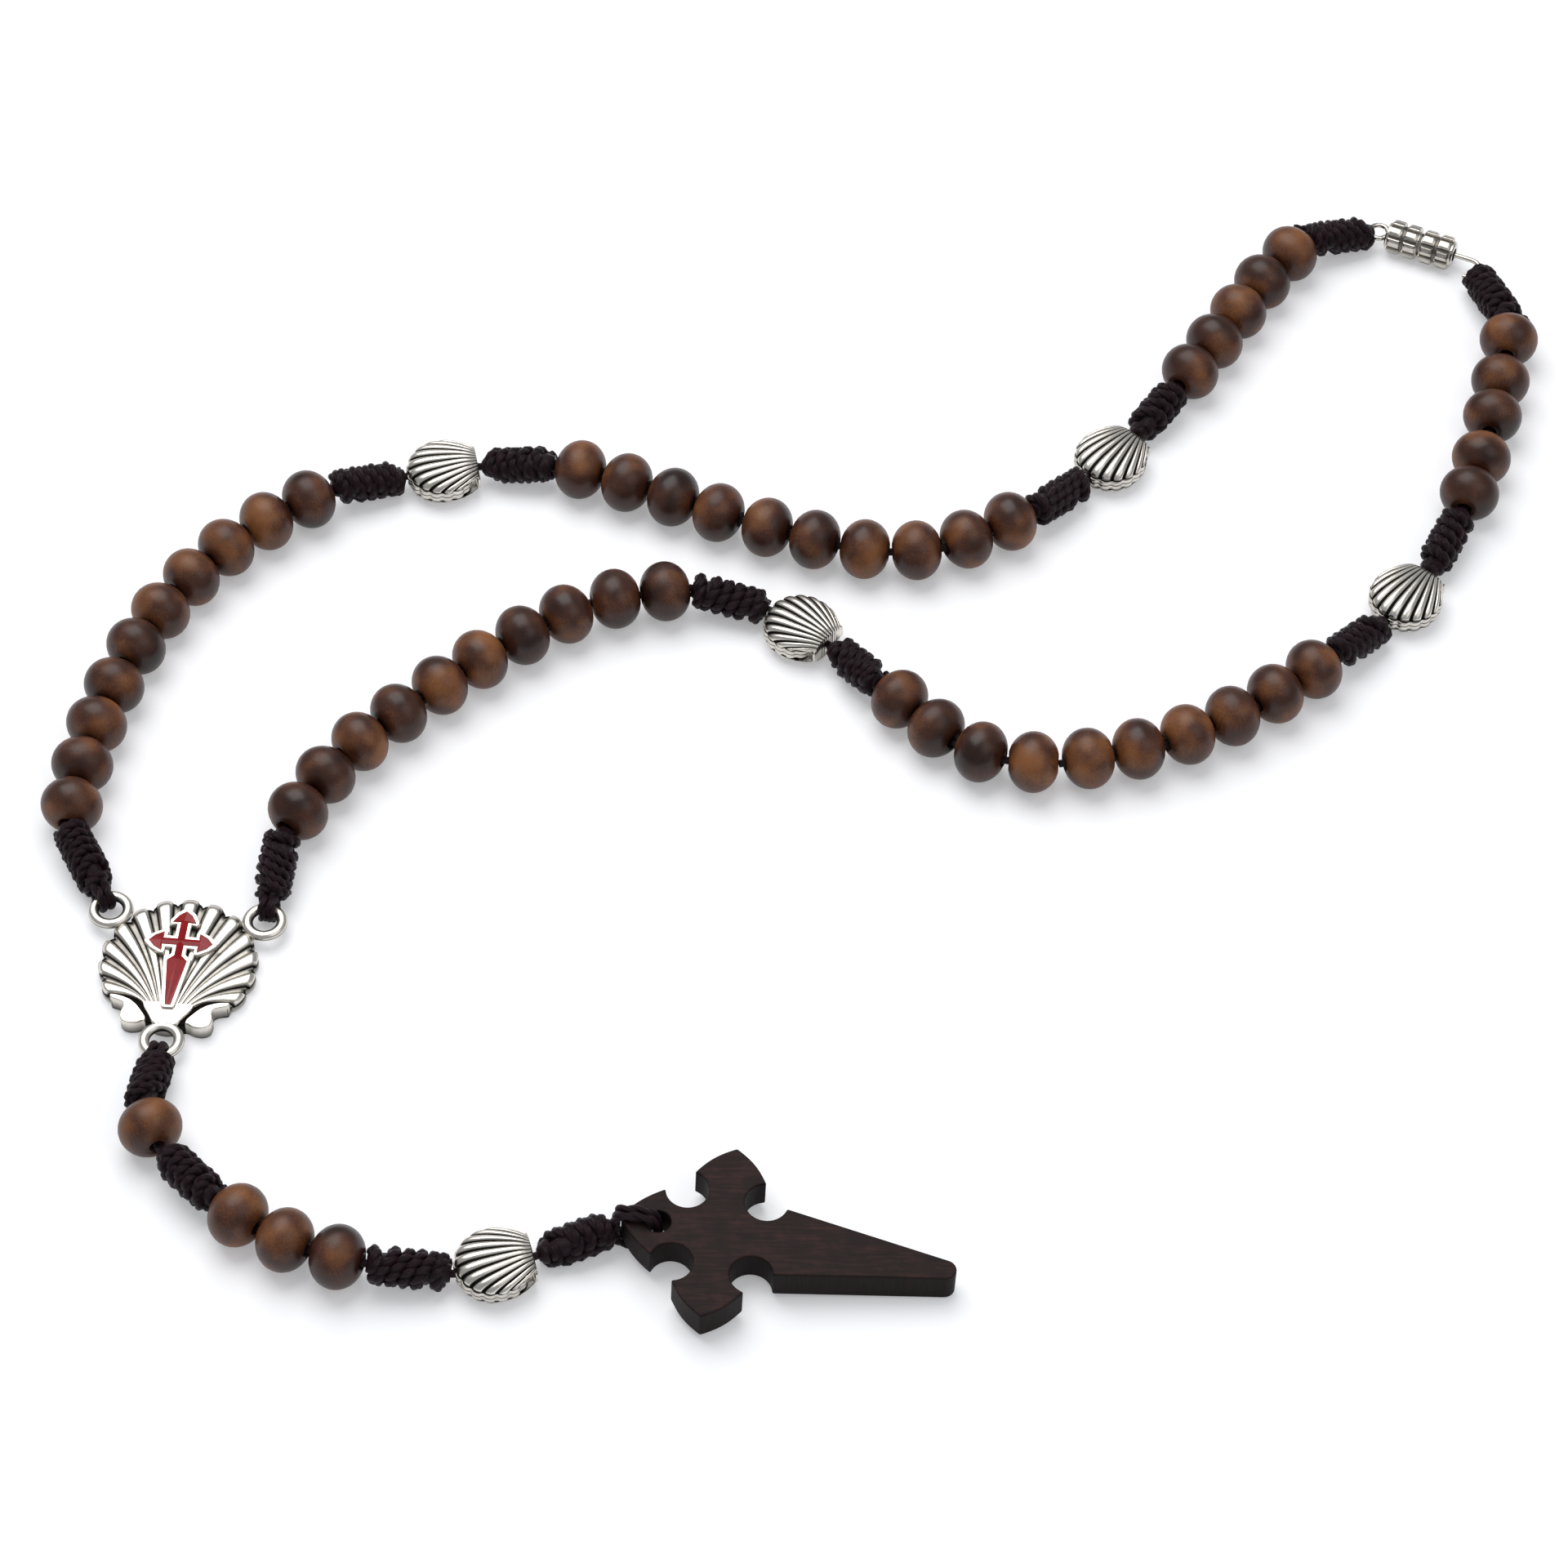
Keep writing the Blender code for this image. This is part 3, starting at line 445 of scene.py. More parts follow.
class ClaspSettings(bpy.types.PropertyGroup):
    diameter: length("Diameter", "Across the studs", 4.8 * MM)
    studs: IntProperty(name="Studs", description="Studs round the barrel", default=8, min=4)
    wire: length("Wire", "Diameter of the bails' wire", 0.7 * MM)
    colour: colour("Colour", "Of the plating", "#c8c3ba")


class CrossSettings(bpy.types.PropertyGroup):
    edge: length("Edge", "How far the cross's edges are rounded", 0.3 * MM)
    hole: length("Hole", "Diameter of the hole for the cord", 3.0 * MM)
    colour: colour("Colour", "Of the stained wood", "#241716")


class StageSettings(bpy.types.PropertyGroup):
    floor: colour("Floor", "Of the table", "#e2e3e7")
    lamp: FloatProperty(name="Lamp", description="Power of the big soft lamp", default=6.5, unit="POWER")
    sky: FloatProperty(name="Sky", description="Strength of the room's even light", default=0.4)
    lens: FloatProperty(name="Lens", description="Of the camera, in millimetres", default=120.0)
    elevation: FloatProperty(
        name="Elevation", description="Of the camera above the table",
        default=math.radians(51.5), unit="ROTATION",
    )
    distance: length("Distance", "From the camera to the middle of the rosary", 673.7 * MM)


class RosarySettings(bpy.types.PropertyGroup):
    beads: PointerProperty(type=BeadSettings)
    cord: PointerProperty(type=CordSettings)
    silver: PointerProperty(type=SilverSettings)
    clasp: PointerProperty(type=ClaspSettings)
    cross: PointerProperty(type=CrossSettings)
    stage: PointerProperty(type=StageSettings)


# ---------------------------------------------------------------- materials

# A texture's scale is the number of its marks in a metre: 2.2 / MM draws marks 0.45 mm wide.


def stained_beech(settings):
    """Beech, turned, stained brown and waxed.

    The stain sinks in unevenly, so that each bead has golden places and darker ones, and the wax gives
    a broad soft gleam over fine short fibres.
    """
    material, add = start_material("stained_beech", Roughness=0.34, Specular_IOR_Level=0.36)
    grain = add("Attribute", out="Vector", attribute_name="grain_place")
    tone = add("Attribute", out="Fac", attribute_name="tone")
    across = MM / settings.fibre
    # The grain is stored in millimetres. Its streaks are nine times as long as wide, its clouds 5 mm.
    streaks = add("Mapping", {"Vector": grain, "Scale": (across, across, across / 9)})
    fibres = add("TexNoise", {"Vector": streaks, "Scale": 1.0, "Detail": 3.0})
    clouds = add("TexNoise", {"Vector": grain, "Scale": 0.2, "Detail": 2.0, "Roughness": 0.45})
    shifted = add("Math", {0: clouds, 1: tone}, operation="ADD")
    mixed = add("Math", {0: fibres, 1: 0.3, 2: shifted}, operation="MULTIPLY_ADD")
    stops = [(0.42, settings.dark), (0.64, settings.middle), (0.92, settings.light)]
    stain = add("ValToRGB", {"Fac": mixed}, stops)
    pores = add("TexNoise", {"Vector": streaks, "Scale": 2.3, "Detail": 1.0})
    pits = add("MapRange", {"Value": pores, "From Min": 0.3, "From Max": 0.42, "To Min": 0.55})
    feeds = {0: 1.0, 6: stain, 7: pits}
    tinted = add("Mix", feeds, out=2, data_type="RGBA", blend_type="MULTIPLY")
    gloss = {"Value": clouds, "From Min": 0.3, "From Max": 0.7, "To Min": 0.3, "To Max": 0.44}
    rough = add("MapRange", gloss)
    return feed_shader(material, (fibres, 0.35, 0.03), Base_Color=tinted, Roughness=rough)


def stained_cross_wood(settings):
    """Thin hardwood, cut out, stained nearly black and left matt, with a faint grain along it."""
    material, add = start_material("stained_hardwood", Roughness=0.6, Specular_IOR_Level=0.16)
    place = add("TexCoord", out="Object")
    turn = (0.0, 0.0, math.radians(-CROSS_TURN))
    # Fibres 0.4 mm wide and 5.5 mm long, over blotches of 2.4 mm
    scale = (0.18 / MM, 2.6 / MM, 2.6 / MM)
    lined = add("Mapping", {"Vector": place, "Rotation": turn, "Scale": scale})
    fibres = add("TexNoise", {"Vector": lined, "Scale": 1.0, "Detail": 4.0})
    blotches = add("TexNoise", {"Vector": place, "Scale": 0.42 / MM, "Detail": 5.0, "Roughness": 0.65})
    mixed = add("Math", {0: fibres, 1: blotches}, operation="ADD")
    half = add("Math", {0: mixed, 1: 0.5}, operation="MULTIPLY")
    base = np.array(settings.colour)
    stops = [(0.36, base * 0.6), (0.5, base * 0.95), (0.66, base * (2.1, 1.8, 1.6))]
    stain = add("ValToRGB", {"Fac": half}, stops)
    return feed_shader(material, (fibres, 0.3, 0.03), Base_Color=stain)


def shaded_side_wood(settings):
    """The same wood on the cross's sides, with painted shade: nearly black, as the light falls from
    above, with a little gloss.
    """
    material, add = start_material("cross_sides_painted_shade", Roughness=0.6, Specular_IOR_Level=0.12)
    place = add("TexCoord", out="Object")
    # Fine upright lines break up the painted shade. They are drawn 0.3 mm wide, so that they show.
    lined = add("Mapping", {"Vector": place, "Scale": (3.3 / MM, 3.3 / MM, 0.3 / MM)})
    lines = add("TexNoise", {"Vector": lined, "Scale": 1.0, "Detail": 2.0})
    base = np.array(settings.colour)
    # The sides' colour, darkened as painted shade
    side_shade = add("ValToRGB", {"Fac": lines}, [(0.35, base * 0.28), (0.7, base * 0.75)])
    return feed_shader(material, (lines, 0.25, 0.03), Base_Color=side_shade)


def twisted_nylon(settings):
    """Nylon filaments twisted into cord. They lie side by side, so the cord has a low satin sheen."""
    material, add = start_material(
        "twisted_nylon", Roughness=0.36, Specular_IOR_Level=0.15, Sheen_Weight=0.04, Sheen_Roughness=0.4,
        Sheen_Tint=(0.75, 0.6, 0.68, 1.0),
    )
    uv = add("UVMap", uv_map="UVMap")
    place = add("TexCoord", out="Object")
    # The filaments are far finer than this. They are drawn seven to a ply, so that they show.
    lined = add("Mapping", {"Vector": uv, "Scale": (7.0, 60.0, 1.0)})
    values = {"Vector": lined, "Scale": 1.0, "Distortion": 1.5, "Detail": 2.0}
    filaments = add("TexWave", values, out="Fac", bands_direction="DIAGONAL")
    # Wear and dust dull it in patches of about 1 mm.
    dust = add("TexNoise", {"Vector": place, "Scale": 0.9 / MM, "Detail": 2.0})
    mixed = add("Math", {0: filaments, 1: 0.35, 2: dust}, operation="MULTIPLY_ADD")
    base = np.array(settings.colour)
    stops = [(0.3, base * 0.6), (0.6, base), (0.95, base * 1.8)]
    stain = add("ValToRGB", {"Fac": mixed}, stops)
    return feed_shader(material, (filaments, 0.4, 0.05), Base_Color=stain)


def antique_silver(settings, name):
    """Cast alloy, silver plated, blackened and polished back.

    The high places are bright and a little worn, and the black stays in every hollow.
    """
    material, add = start_material(name, Metallic=1.0)
    place = add("TexCoord", out="Object")
    depth = add("Attribute", out="Fac", attribute_name="patina")
    # The casting's skin is pitted every 0.45 mm, and the stains are 2 mm wide.
    casting = add("TexNoise", {"Vector": place, "Scale": 2.2 / MM, "Detail": 3.0})
    stains = add("TexNoise", {"Vector": place, "Scale": 0.5 / MM, "Detail": 4.0})
    worn = add("Math", {0: stains, 1: 0.3, 2: depth}, operation="MULTIPLY_ADD")
    stops = [(0.22, settings.bright), (0.5, np.array(settings.bright) * 0.45), (0.85, settings.patina)]
    metal = add("ValToRGB", {"Fac": worn}, stops)
    gloss = {"Value": worn, "From Min": 0.1, "From Max": 0.9, "To Min": 0.24, "To Max": 0.6}
    rough = add("MapRange", gloss)
    return feed_shader(material, (casting, 0.25, 0.03), Base_Color=metal, Roughness=rough)


def red_enamel(settings):
    """Cold enamel poured into its frame: glassy red, a little darker and lighter where it pools."""
    material, add = start_material("red_enamel", Roughness=0.2, Specular_IOR_Level=0.28)
    place = add("TexCoord", out="Object")
    # It pools in waves of 1.4 mm.
    pool = add("TexNoise", {"Vector": place, "Scale": 0.7 / MM, "Detail": 2.0})
    base = np.array(settings.enamel)
    red = add("ValToRGB", {"Fac": pool}, [(0.3, base * 0.8), (0.7, base * 1.15)])
    return feed_shader(material, (pool, 0.2, 0.05), Base_Color=red)


def plated_metal(name, colour, roughness, per_mm):
    """Bright plating or plain steel, with the fine scuffs that break up its reflections.

    Real scuffs are far finer. They are drawn per_mm to the millimetre, so that they show.
    """
    material, add = start_material(name, Metallic=1.0)
    place = add("TexCoord", out="Object")
    scuffs = add("TexNoise", {"Vector": place, "Scale": per_mm / MM, "Detail": 4.0})
    base = np.array(colour)
    metal = add("ValToRGB", {"Fac": scuffs}, [(0.3, base * 0.8), (0.6, base)])
    gloss = {"From Min": 0.3, "From Max": 0.7, "To Min": roughness * 0.7, "To Max": roughness * 1.4}
    rough = add("MapRange", {"Value": scuffs, **gloss})
    return feed_shader(material, (scuffs, 0.15, 0.02), Base_Color=metal, Roughness=rough)


# ---------------------------------------------------------------- cords and knots


def cord_curve(name, strips, sides):
    """A curve of round strips. Each strip is (points, radius), with one radius or one a point."""
    curve = bpy.data.curves.new(name, "CURVE")
    curve.dimensions = "3D"
    curve.bevel_resolution = sides
    curve.use_fill_caps = True
    curve.bevel_depth = max(float(np.max(radius)) for _, radius in strips)
    for points, radius in strips:
        spline = curve.splines.new("POLY")
        spline.points.add(len(points) - 1)
        radii = np.broadcast_to(radius, len(points)) / curve.bevel_depth
        for point, place, share in zip(spline.points, points, radii):
            point.co = (*place, 1.0)
            point.radius = share
    return curve


def strip_mesh(name, strips, sides):
    """The mesh of round strips, with its caps closed and its faces turned outwards."""
    mesh = baked(add_object(name, cord_curve(name, strips, sides)))
    bm = bmesh.new()
    bm.from_mesh(mesh)
    bpy.data.meshes.remove(mesh)
    return mesh_from(bm, name)


def plies(path, radius, twist, start=0.0):
    """Two plies twisted round each other along a path, as strips for a curve."""
    path = np.asarray(path)
    steps = np.linalg.norm(np.diff(path, axis=0), axis=1)
    along = np.concatenate([[0.0], np.cumsum(steps)])
    tangents = np.gradient(path, axis=0)
    tangents /= np.linalg.norm(tangents, axis=1)[:, None]
    side = np.cross(tangents[0], (0.3, 0.2, 0.93))
    strips = [[], []]
    for place, tangent, distance in zip(path, tangents, along):
        side = side - tangent * np.dot(side, tangent)
        side /= np.linalg.norm(side)
        other = np.cross(tangent, side)
        angle = start + 2 * math.pi * distance / twist
        offset = PLY_OFFSET * radius * (math.cos(angle) * side + math.sin(angle) * other)
        strips[0].append(place + offset)
        strips[1].append(place - offset)
    return [(strip, PLY_RADIUS * radius) for strip in strips]


def wound_path(low, high, full, ends, settings, seed, coarse):
    """The line of a cord wound into a barrel knot from low to high.

    ends holds the share of the full radius at each end. The turns lean over, as they do where the cord
    was pulled tight from one side.
    """
    axis = high - low
    span = axis.length
    basis = basis_along(axis)
    wrap = settings.wrap * coarse
    travel = span - wrap
    turns = max(3, round(travel / (settings.pitch * coarse)))
    count = turns * KNOT_STEPS
    # Each knot leans by an amount and to a side of its own.
    lean = (0.52 + 0.2 * math.sin(seed * 2.1)) * settings.knot_diameter / 2
    lean_side = seed * 1.7
    path = []
    for index in range(count + 1):
        share = index / count
        angle = 2 * math.pi * turns * share
        taper_low = ends[0] + (1 - ends[0]) * smooth_step(share, 0.0, 0.2)
        taper_high = ends[1] + (1 - ends[1]) * smooth_step(1 - share, 0.0, 0.22)
        radius = (full - wrap / 2) * min(taper_low, taper_high)
        radius += KNOT_SLACK * noise.noise(Vector((seed * 7.3, angle * 0.6, 0.0)))
        held = smooth_step(share, 0.0, 0.25) * smooth_step(1 - share, 0.0, 0.25)
        height = wrap / 2 + travel * share + lean * held * math.cos(angle - lean_side)
        local = Vector((radius * math.cos(angle), radius * math.sin(angle), height))
        path.append(low + basis @ local)
    return path


def knot_strips(item, ends, settings, seed, coarse):
    """A barrel knot: the wound cord, and the cords that run through its middle."""
    full = settings.knot_diameter / 2
    path = wound_path(item.low, item.high, full, ends, settings, seed, coarse)
    strips = plies(path, settings.wrap * coarse / 2, 2.6 * MM, seed)
    core = [item.low.lerp(item.high, share) for share in (0.02, 0.12, 0.35, 0.65, 0.88, 0.98)]
    shares = [0.45 * ends[0], 0.62 * ends[0], 0.66, 0.66, 0.62 * ends[1], 0.45 * ends[1]]
    strips.append((core, np.array(shares) * full))
    if ends[0] < 0.5:
        collar = [item.low + item.direction * along * MM for along in (-0.1, 0.3, 1.0)]
        strips.append((collar, np.array([0.3, 0.5, 0.6]) * full))
    return strips


def ring_loop(ring, item):
    """The cord's loop from a first knot over the medal's ring, down through it and back below."""
    away = (item.low - ring).to_2d().to_3d().normalized()
    eye = ring + away * EYELET_RADIUS
    inside = item.low + item.direction * 1.6 * MM
    radius = EYE_RADIUS - 0.05 * MM
    across = UP.cross(away)
    strips = []
    for shift in (-0.54 * MM, 0.54 * MM):  # two cords side by side
        turn = [
            eye + across * shift - away * radius * math.cos(a) + UP * radius * math.sin(a)
            for a in np.radians((80, 55, 30, 0, -30, -55, -80))
        ]
        near = across * shift * 1.6
        points = [inside + near + UP * 1.0 * MM, *turn, inside + near - UP * 0.8 * MM]
        strips += plies(smooth_path(points, 6), 0.66 * MM, 3.6 * MM, shift)
    return strips


def cut_end(item, side):
    """The cut end of the cord, which stands out from the end knot beside its bead."""
    along = item.direction
    outer = UP.cross(along) * (1 if side == "left" else -1)
    start = item.low + along * 1.4 * MM + outer * 1.5 * MM
    if side == "left":
        start += UP * 0.6 * MM
    bends = ((0.0, 0.0), (1.0, 0.35), (2.2, 0.75))
    points = [start - (along * back - outer * out) * MM for back, out in bends]
    return plies(smooth_path(points, 4), 0.55 * MM, 2.4 * MM)


def cross_loop(item):
    """The cord's loop from the last knot over the cross's tip, down through its hole and back below."""
    hole = PLACES["cross_swing"]
    away = turned_flat((1.0, 0.0), CROSS_TURN)
    across = UP.cross(away)
    top = CROSS_THICKNESS + 2.2 * MM  # the cord's middle line above the cross, and below it
    bottom = 0.66 * MM
    inside = item.high - item.direction * 2.0 * MM
    tip = hole - away * (CROSS_HOLE_FROM_TIP + 0.3 * MM)
    before_tip = tip - away * 0.55 * MM
    strips = []
    for shift in (-0.5 * MM, 0.5 * MM):  # two cords side by side
        spots = [
            (inside, inside.z + 0.5 * MM), (before_tip, 3.7 * MM), (tip, top - 0.4 * MM),
            (hole - away * 2.2 * MM, top + 0.1 * MM), (hole - away * 0.9 * MM, top - 0.1 * MM),
            (hole - away * 0.3 * MM, top - 1.1 * MM), (hole - away * 0.1 * MM, 3.2 * MM),
            (hole - away * 0.3 * MM, 1.4 * MM), (hole - away * 1.3 * MM, bottom), (tip, bottom),
            (before_tip, 2.0 * MM), (inside, inside.z - 0.8 * MM),
        ]
        points = [Vector((spot.x, spot.y, height)) + across * shift for spot, height in spots]
        strips += plies(smooth_path(points, 6), 0.62 * MM, 4.5 * MM, shift)
    return strips


def line_path(items, first, last):
    """The line of a link's cord. It starts inside the link before and stops short of the next hinge."""
    start, end = items[0].low, items[-1].high
    if not first:
        start = start - items[0].direction * (LINK_GAP + LINE_OVERLAP)
    if not last:
        end = end - items[-1].direction * LINE_SHORT
    stations = [start]
    for before, after in zip(items, items[1:]):
        stations += [before.middle, (before.high + after.low) / 2]
    return smooth_path([*stations, items[-1].middle, end], 4)


class ROSARY_OT_cords(bpy.types.Operator):
    """Strings the cord of every link and winds its knots"""

    bl_idname = "rosary.cords"
    bl_label = "Cords and knots"

    def execute(self, context):
        settings = context.scene.rosary.cord
        material = twisted_nylon(settings)
        seed = 1
        for side in STRANDS:
            links = strand_links(side)
            for number, items in enumerate(links, 1):
                first, last = number == 1, number == len(links)
                path = line_path(items, first, last)
                body = f"{side}_link_{number}"
                node = f"{side}_cord_{number}"
                name = f"{body}_line"
                line = cord_curve(name, [(path, settings.diameter / 2)], 2)
                cord = link_piece(line, name, material, body, node)
                knots = []
                for item in items:
                    if item.node:
                        continue
                    at_start = item is items[0]
                    at_ring = first and at_start
                    at_end = last and item is items[-1]
                    # A knot at the start of a link is tapered, so that the link can bend.
                    ends = [0.75 if at_ring else 0.42 if at_start else 0.9, 0.92]
                    if at_start and not first:
                        item.low += item.direction * ROOM_TO_BEND
                    if at_ring and side == "tail":
                        ends = [0.8, 0.6]
                    if at_end and side != "tail":
                        ends[1] = 0.85
                    coarse = FINE_AT_RING if at_ring else COARSE_ELSEWHERE
                    strips = knot_strips(item, ends, settings, seed, coarse)
                    if at_ring:
                        strips += ring_loop(PLACES[f"{side}_link_1_bend"], item)
                    if at_end:
                        strips += cross_loop(item) if side == "tail" else cut_end(item, side)
                    name = f"{body}_knot_{len(knots) + 1}"
                    mesh = strip_mesh(name, strips, 3)
                    knots.append(link_piece(mesh, name, material, body, node))
                    seed += 1
        return {"FINISHED"}


# ---------------------------------------------------------------- beads


def bead_mesh(name, place, rotation, seed, settings):
    """One turned bead with its own grain. It is a closed ring: the outside, then the bore."""
    half = settings.length / 2
    radius = settings.diameter / 2
    bore = settings.bore / 2
    lip = bore + 0.25 * MM
    first = math.asin(lip / radius)
    angles = np.linspace(first, math.pi - first, 15)
    tall = half / math.cos(first)
    outside = [(radius * math.sin(a) ** BEAD_FULLNESS, tall * math.cos(a)) for a in angles]
    outside[0] = (lip, half)
    outside[-1] = (lip, -half)
    profile = [(bore, half - 0.2 * MM), *outside, (bore, 0.2 * MM - half)]
    bm = turned(profile, 32, closed=True)
    wander = Vector((seed * 13.7, seed * 5.1, seed * 9.9))
    lean = math.radians(90) + 0.5 * math.sin(seed)
    spin = Matrix.Rotation(seed * 2.4, 3, "Z") @ Matrix.Rotation(lean, 3, "X")
    grain = bm.verts.layers.float_vector.new("grain_place")
    tone = bm.verts.layers.float.new("tone")
    shade = 0.05 * math.sin(seed * 2.3) + 0.04 * math.sin(seed * 5.7)
    for vert in bm.verts:
        local = vert.co / MM
        vert[grain] = spin @ local + wander
        vert[tone] = shade
        if vert.co.to_2d().length > 1.2 * bore:
            vert.co *= 1 + BEAD_UNEVENNESS * noise.noise(local * 0.25 + wander)
    move(bm, placement(place, rotation))
    return mesh_from(bm, name)


class ROSARY_OT_beads(bpy.types.Operator):
    """Turns the wooden beads"""

    bl_idname = "rosary.beads"
    bl_label = "Wooden beads"

    def execute(self, context):
        settings = context.scene.rosary.beads
        material = stained_beech(settings)
        seed = 1
        for item in strung("bead", "beads"):
            side, _, *numbers = item.node.split("_")
            rotation = basis_along(item.direction)
            for index, number in enumerate(numbers):
                offset = (index - (len(numbers) - 1) / 2) * BEAD_PITCH
                place = item.middle + item.direction * offset
                name = f"{side}_wooden_bead_{number}"
                mesh = bead_mesh(name, place, rotation, seed, settings)
                link_piece(mesh, name, material, item.node, item.node)
                seed += 1
        return {"FINISHED"}


# ---------------------------------------------------------------- relief work


def rolled_sheet(outline, rows, place):
    """A grid rolled into a closed solid. place(corner of the outline, row) gives each point."""
    bm = bmesh.new()
    around = len(outline)
    patina = bm.verts.layers.float.new("patina")
    bmesh.ops.create_grid(bm, x_segments=around, y_segments=rows, size=0.5)
    for vert in bm.verts:
        corner = round((vert.co.x + 0.5) * around) % around
        row = round((vert.co.y + 0.5) * rows)
        point, dark = place(outline[corner], row)
        vert.co = point
        vert[patina] = dark
    bmesh.ops.remove_doubles(bm, verts=bm.verts, dist=MERGE)
    return bm


def out_and_back(shares, wall, top, bottom):
    """Stations of a section that goes out over the top, down the wall and back below.

    Each is (share of the way out, height or None, patina or None, which face). The shares are the same
    on both faces, so that a lane whose heights are all alike closes to a line.
    """
    out = [(share, None, None, top) for share in shares]
    back = [(share, None, None, bottom) for share in reversed(shares)]
    return out + wall + back


def bowed(foot, rim, control, share):
    """A place on the curve from foot to rim that leaves towards control."""
    return foot.lerp(control, share).lerp(control.lerp(rim, share), share)


def shell_rib(distance):
    """Height and patina across a bead's rib, from its middle at 0 to the groove's middle at 0.5."""
    height = (1.0 - 0.35 * min(distance / 0.3, 1.0) ** 2) * (1 - smooth_step(distance, 0.27, 0.42))
    return height, smooth_step(distance, 0.29, 0.4)


def medal_rib(distance):
    """Height and patina across a medal's rib. A line of black lies at the foot of its steep side."""
    height = (1.0 - 0.16 * min(distance / 0.27, 1.0) ** 2) * (1 - smooth_step(distance, 0.27, 0.35))
    line = math.exp(-(((distance - 0.355) / 0.055) ** 2))
    return height, max(line, 0.35 * smooth_step(distance, 0.35, 0.5))


RING_MIDDLE = 2.19 * MM
RING_WIRE = 0.6 * MM  # half the height of a ring's wire
RING_BREADTH = 1.15  # of a ring's wire, as a share of its height

# Medal, in millimetres, from the middle of its plate and before its turn
RIM_CENTRE = 1.25
RIM_RADIUS = 10.0
RIM_END = -38.0
LOBES = 13
LANES_PER_RIB = 12
FAN_FOOT_WIDTH = 3.1
FAN_CREST = 2.42  # height of the ribs at the tongue
FAN_FALL = 0.3  # how much lower they are at the rim
RIM_ROUNDING = 0.45
TONGUE_TOP = -5.35
EAR = [
    (7.6, -4.55), (7.4, -5.2), (6.4, -5.5), (5.75, -5.75), (5.55, -6.3), (5.8, -7.2), (5.7, -8.1),
    (5.3, -8.6), (4.5, -8.85), (3.6, -8.75), (2.9, -8.35), (2.45, -8.3), (2.55, -7.6), (3.2, -6.75),
    (3.95, -5.85), (4.9, -5.15), (6.2, -4.68),
]
TONGUE = [
    (0.0, TONGUE_TOP), (3.35, TONGUE_TOP), (3.0, -6.35), (2.2, -7.5), (1.75, -8.3), (1.1, -8.85),
    (0.0, -9.05),
]
FOOT_PLATE = [
    (0.0, -4.6), (7.2, -4.6), (7.45, -5.2), (6.2, -5.5), (5.7, -5.8), (5.5, -6.3), (5.72, -7.2),
    (5.62, -8.1), (5.2, -8.55), (4.5, -8.78), (3.6, -8.65), (2.6, -8.2), (1.7, -8.5), (1.0, -8.8),
    (0.0, -8.95),
]


def medal_rim(across):
    """A place on the fan's rim. across runs from -1 at the left ear to 1 at the right one."""
    lobe = (across + 1) / 2 * LOBES
    radius = RIM_RADIUS - 0.65 * (1 - abs(math.sin(math.pi * lobe)) ** 0.55)
    angle = math.radians(90 - (90 - RIM_END) * across)
    return Vector((radius * math.cos(angle), RIM_CENTRE + radius * math.sin(angle)))


def medal_fan(turn, rib_depth):
    """The medal's fan: ribs that curve out from the tongue, a wall with a sunk line, a plain back."""
    shares = [0.0] + [1 - (1 - step / 34) ** 1.25 for step in range(1, 33)] + [0.982, 1.0]
    wall = [
        (0.995, 1.25, 0.6, 0), (0.975, 1.12, 1.0, 0), (0.975, 1.0, 1.0, 0), (0.995, 0.9, 0.5, 0),
    ]
    section = out_and_back(shares, wall, 1, -1)
    rows = LOBES * LANES_PER_RIB

    def place(station, row):
        share, height, dark, face = station
        across = 2 * row / rows - 1
        lobe = (across + 1) / 2 * LOBES
        foot = Vector((FAN_FOOT_WIDTH * across, TONGUE_TOP - 0.4))
        rim = medal_rim(across)
        gap = rim - foot
        # The ribs leave the tongue upwards, and the outer ones bow out the most.
        control = foot + Vector((0.32 * gap.x, 0.5 * gap.y + 0.9 * abs(across)))
        spot = bowed(foot, rim, control, share)
        if abs(across) == 1:
            return turn @ Vector((spot.x, spot.y, 1.0)), 1.0
        if face == 1:
            rib, dark = medal_rib(abs(lobe % 1 - 0.5))
            edge = smooth_step(share, 0.93, 1.0)
            groove = (0.1 + (rib_depth - 0.1) * share) * (1 - rib)
            height = FAN_CREST - FAN_FALL * share * share - groove - RIM_ROUNDING * edge * edge
            dark *= 0.75 + 0.25 * share
        elif face == -1:
            height = 0.25 if share == 1.0 else 0.05 if share > 0.98 else 0.0
            dark = 0.2
        return turn @ Vector((spot.x, spot.y, height)), dark

    return rolled_sheet(section, rows, place)


def medal_foot_piece(name, outline, low, high, dark, turn):
    """An ear, the tongue or the plate below them: a flat shape with a rounded upper edge."""
    bm, top = raised_face(outline, low, high - 0.22)
    raise_in_steps(bm, top, ((0.05, 0.14), (0.08, 0.08)))
    blacken(bm, lambda co: max(dark, 0.55 * (co.z < high - 0.25)))
    move(bm, turn)
    return mesh_from(bm, name, smooth=False)


def rounded(outline, steps=3):
    """An outline with its corners taken off in curves."""
    points = [Vector(p) for p in outline]
    made = []
    for before, corner, after in zip(points[-1:] + points[:-1], points, points[1:] + points[:1]):
        for step in range(steps + 1):
            share = step / steps
            near = corner.lerp(before, 0.3)
            far = corner.lerp(after, 0.3)
            made.append(tuple(bowed(near, far, corner, share)))
    return made


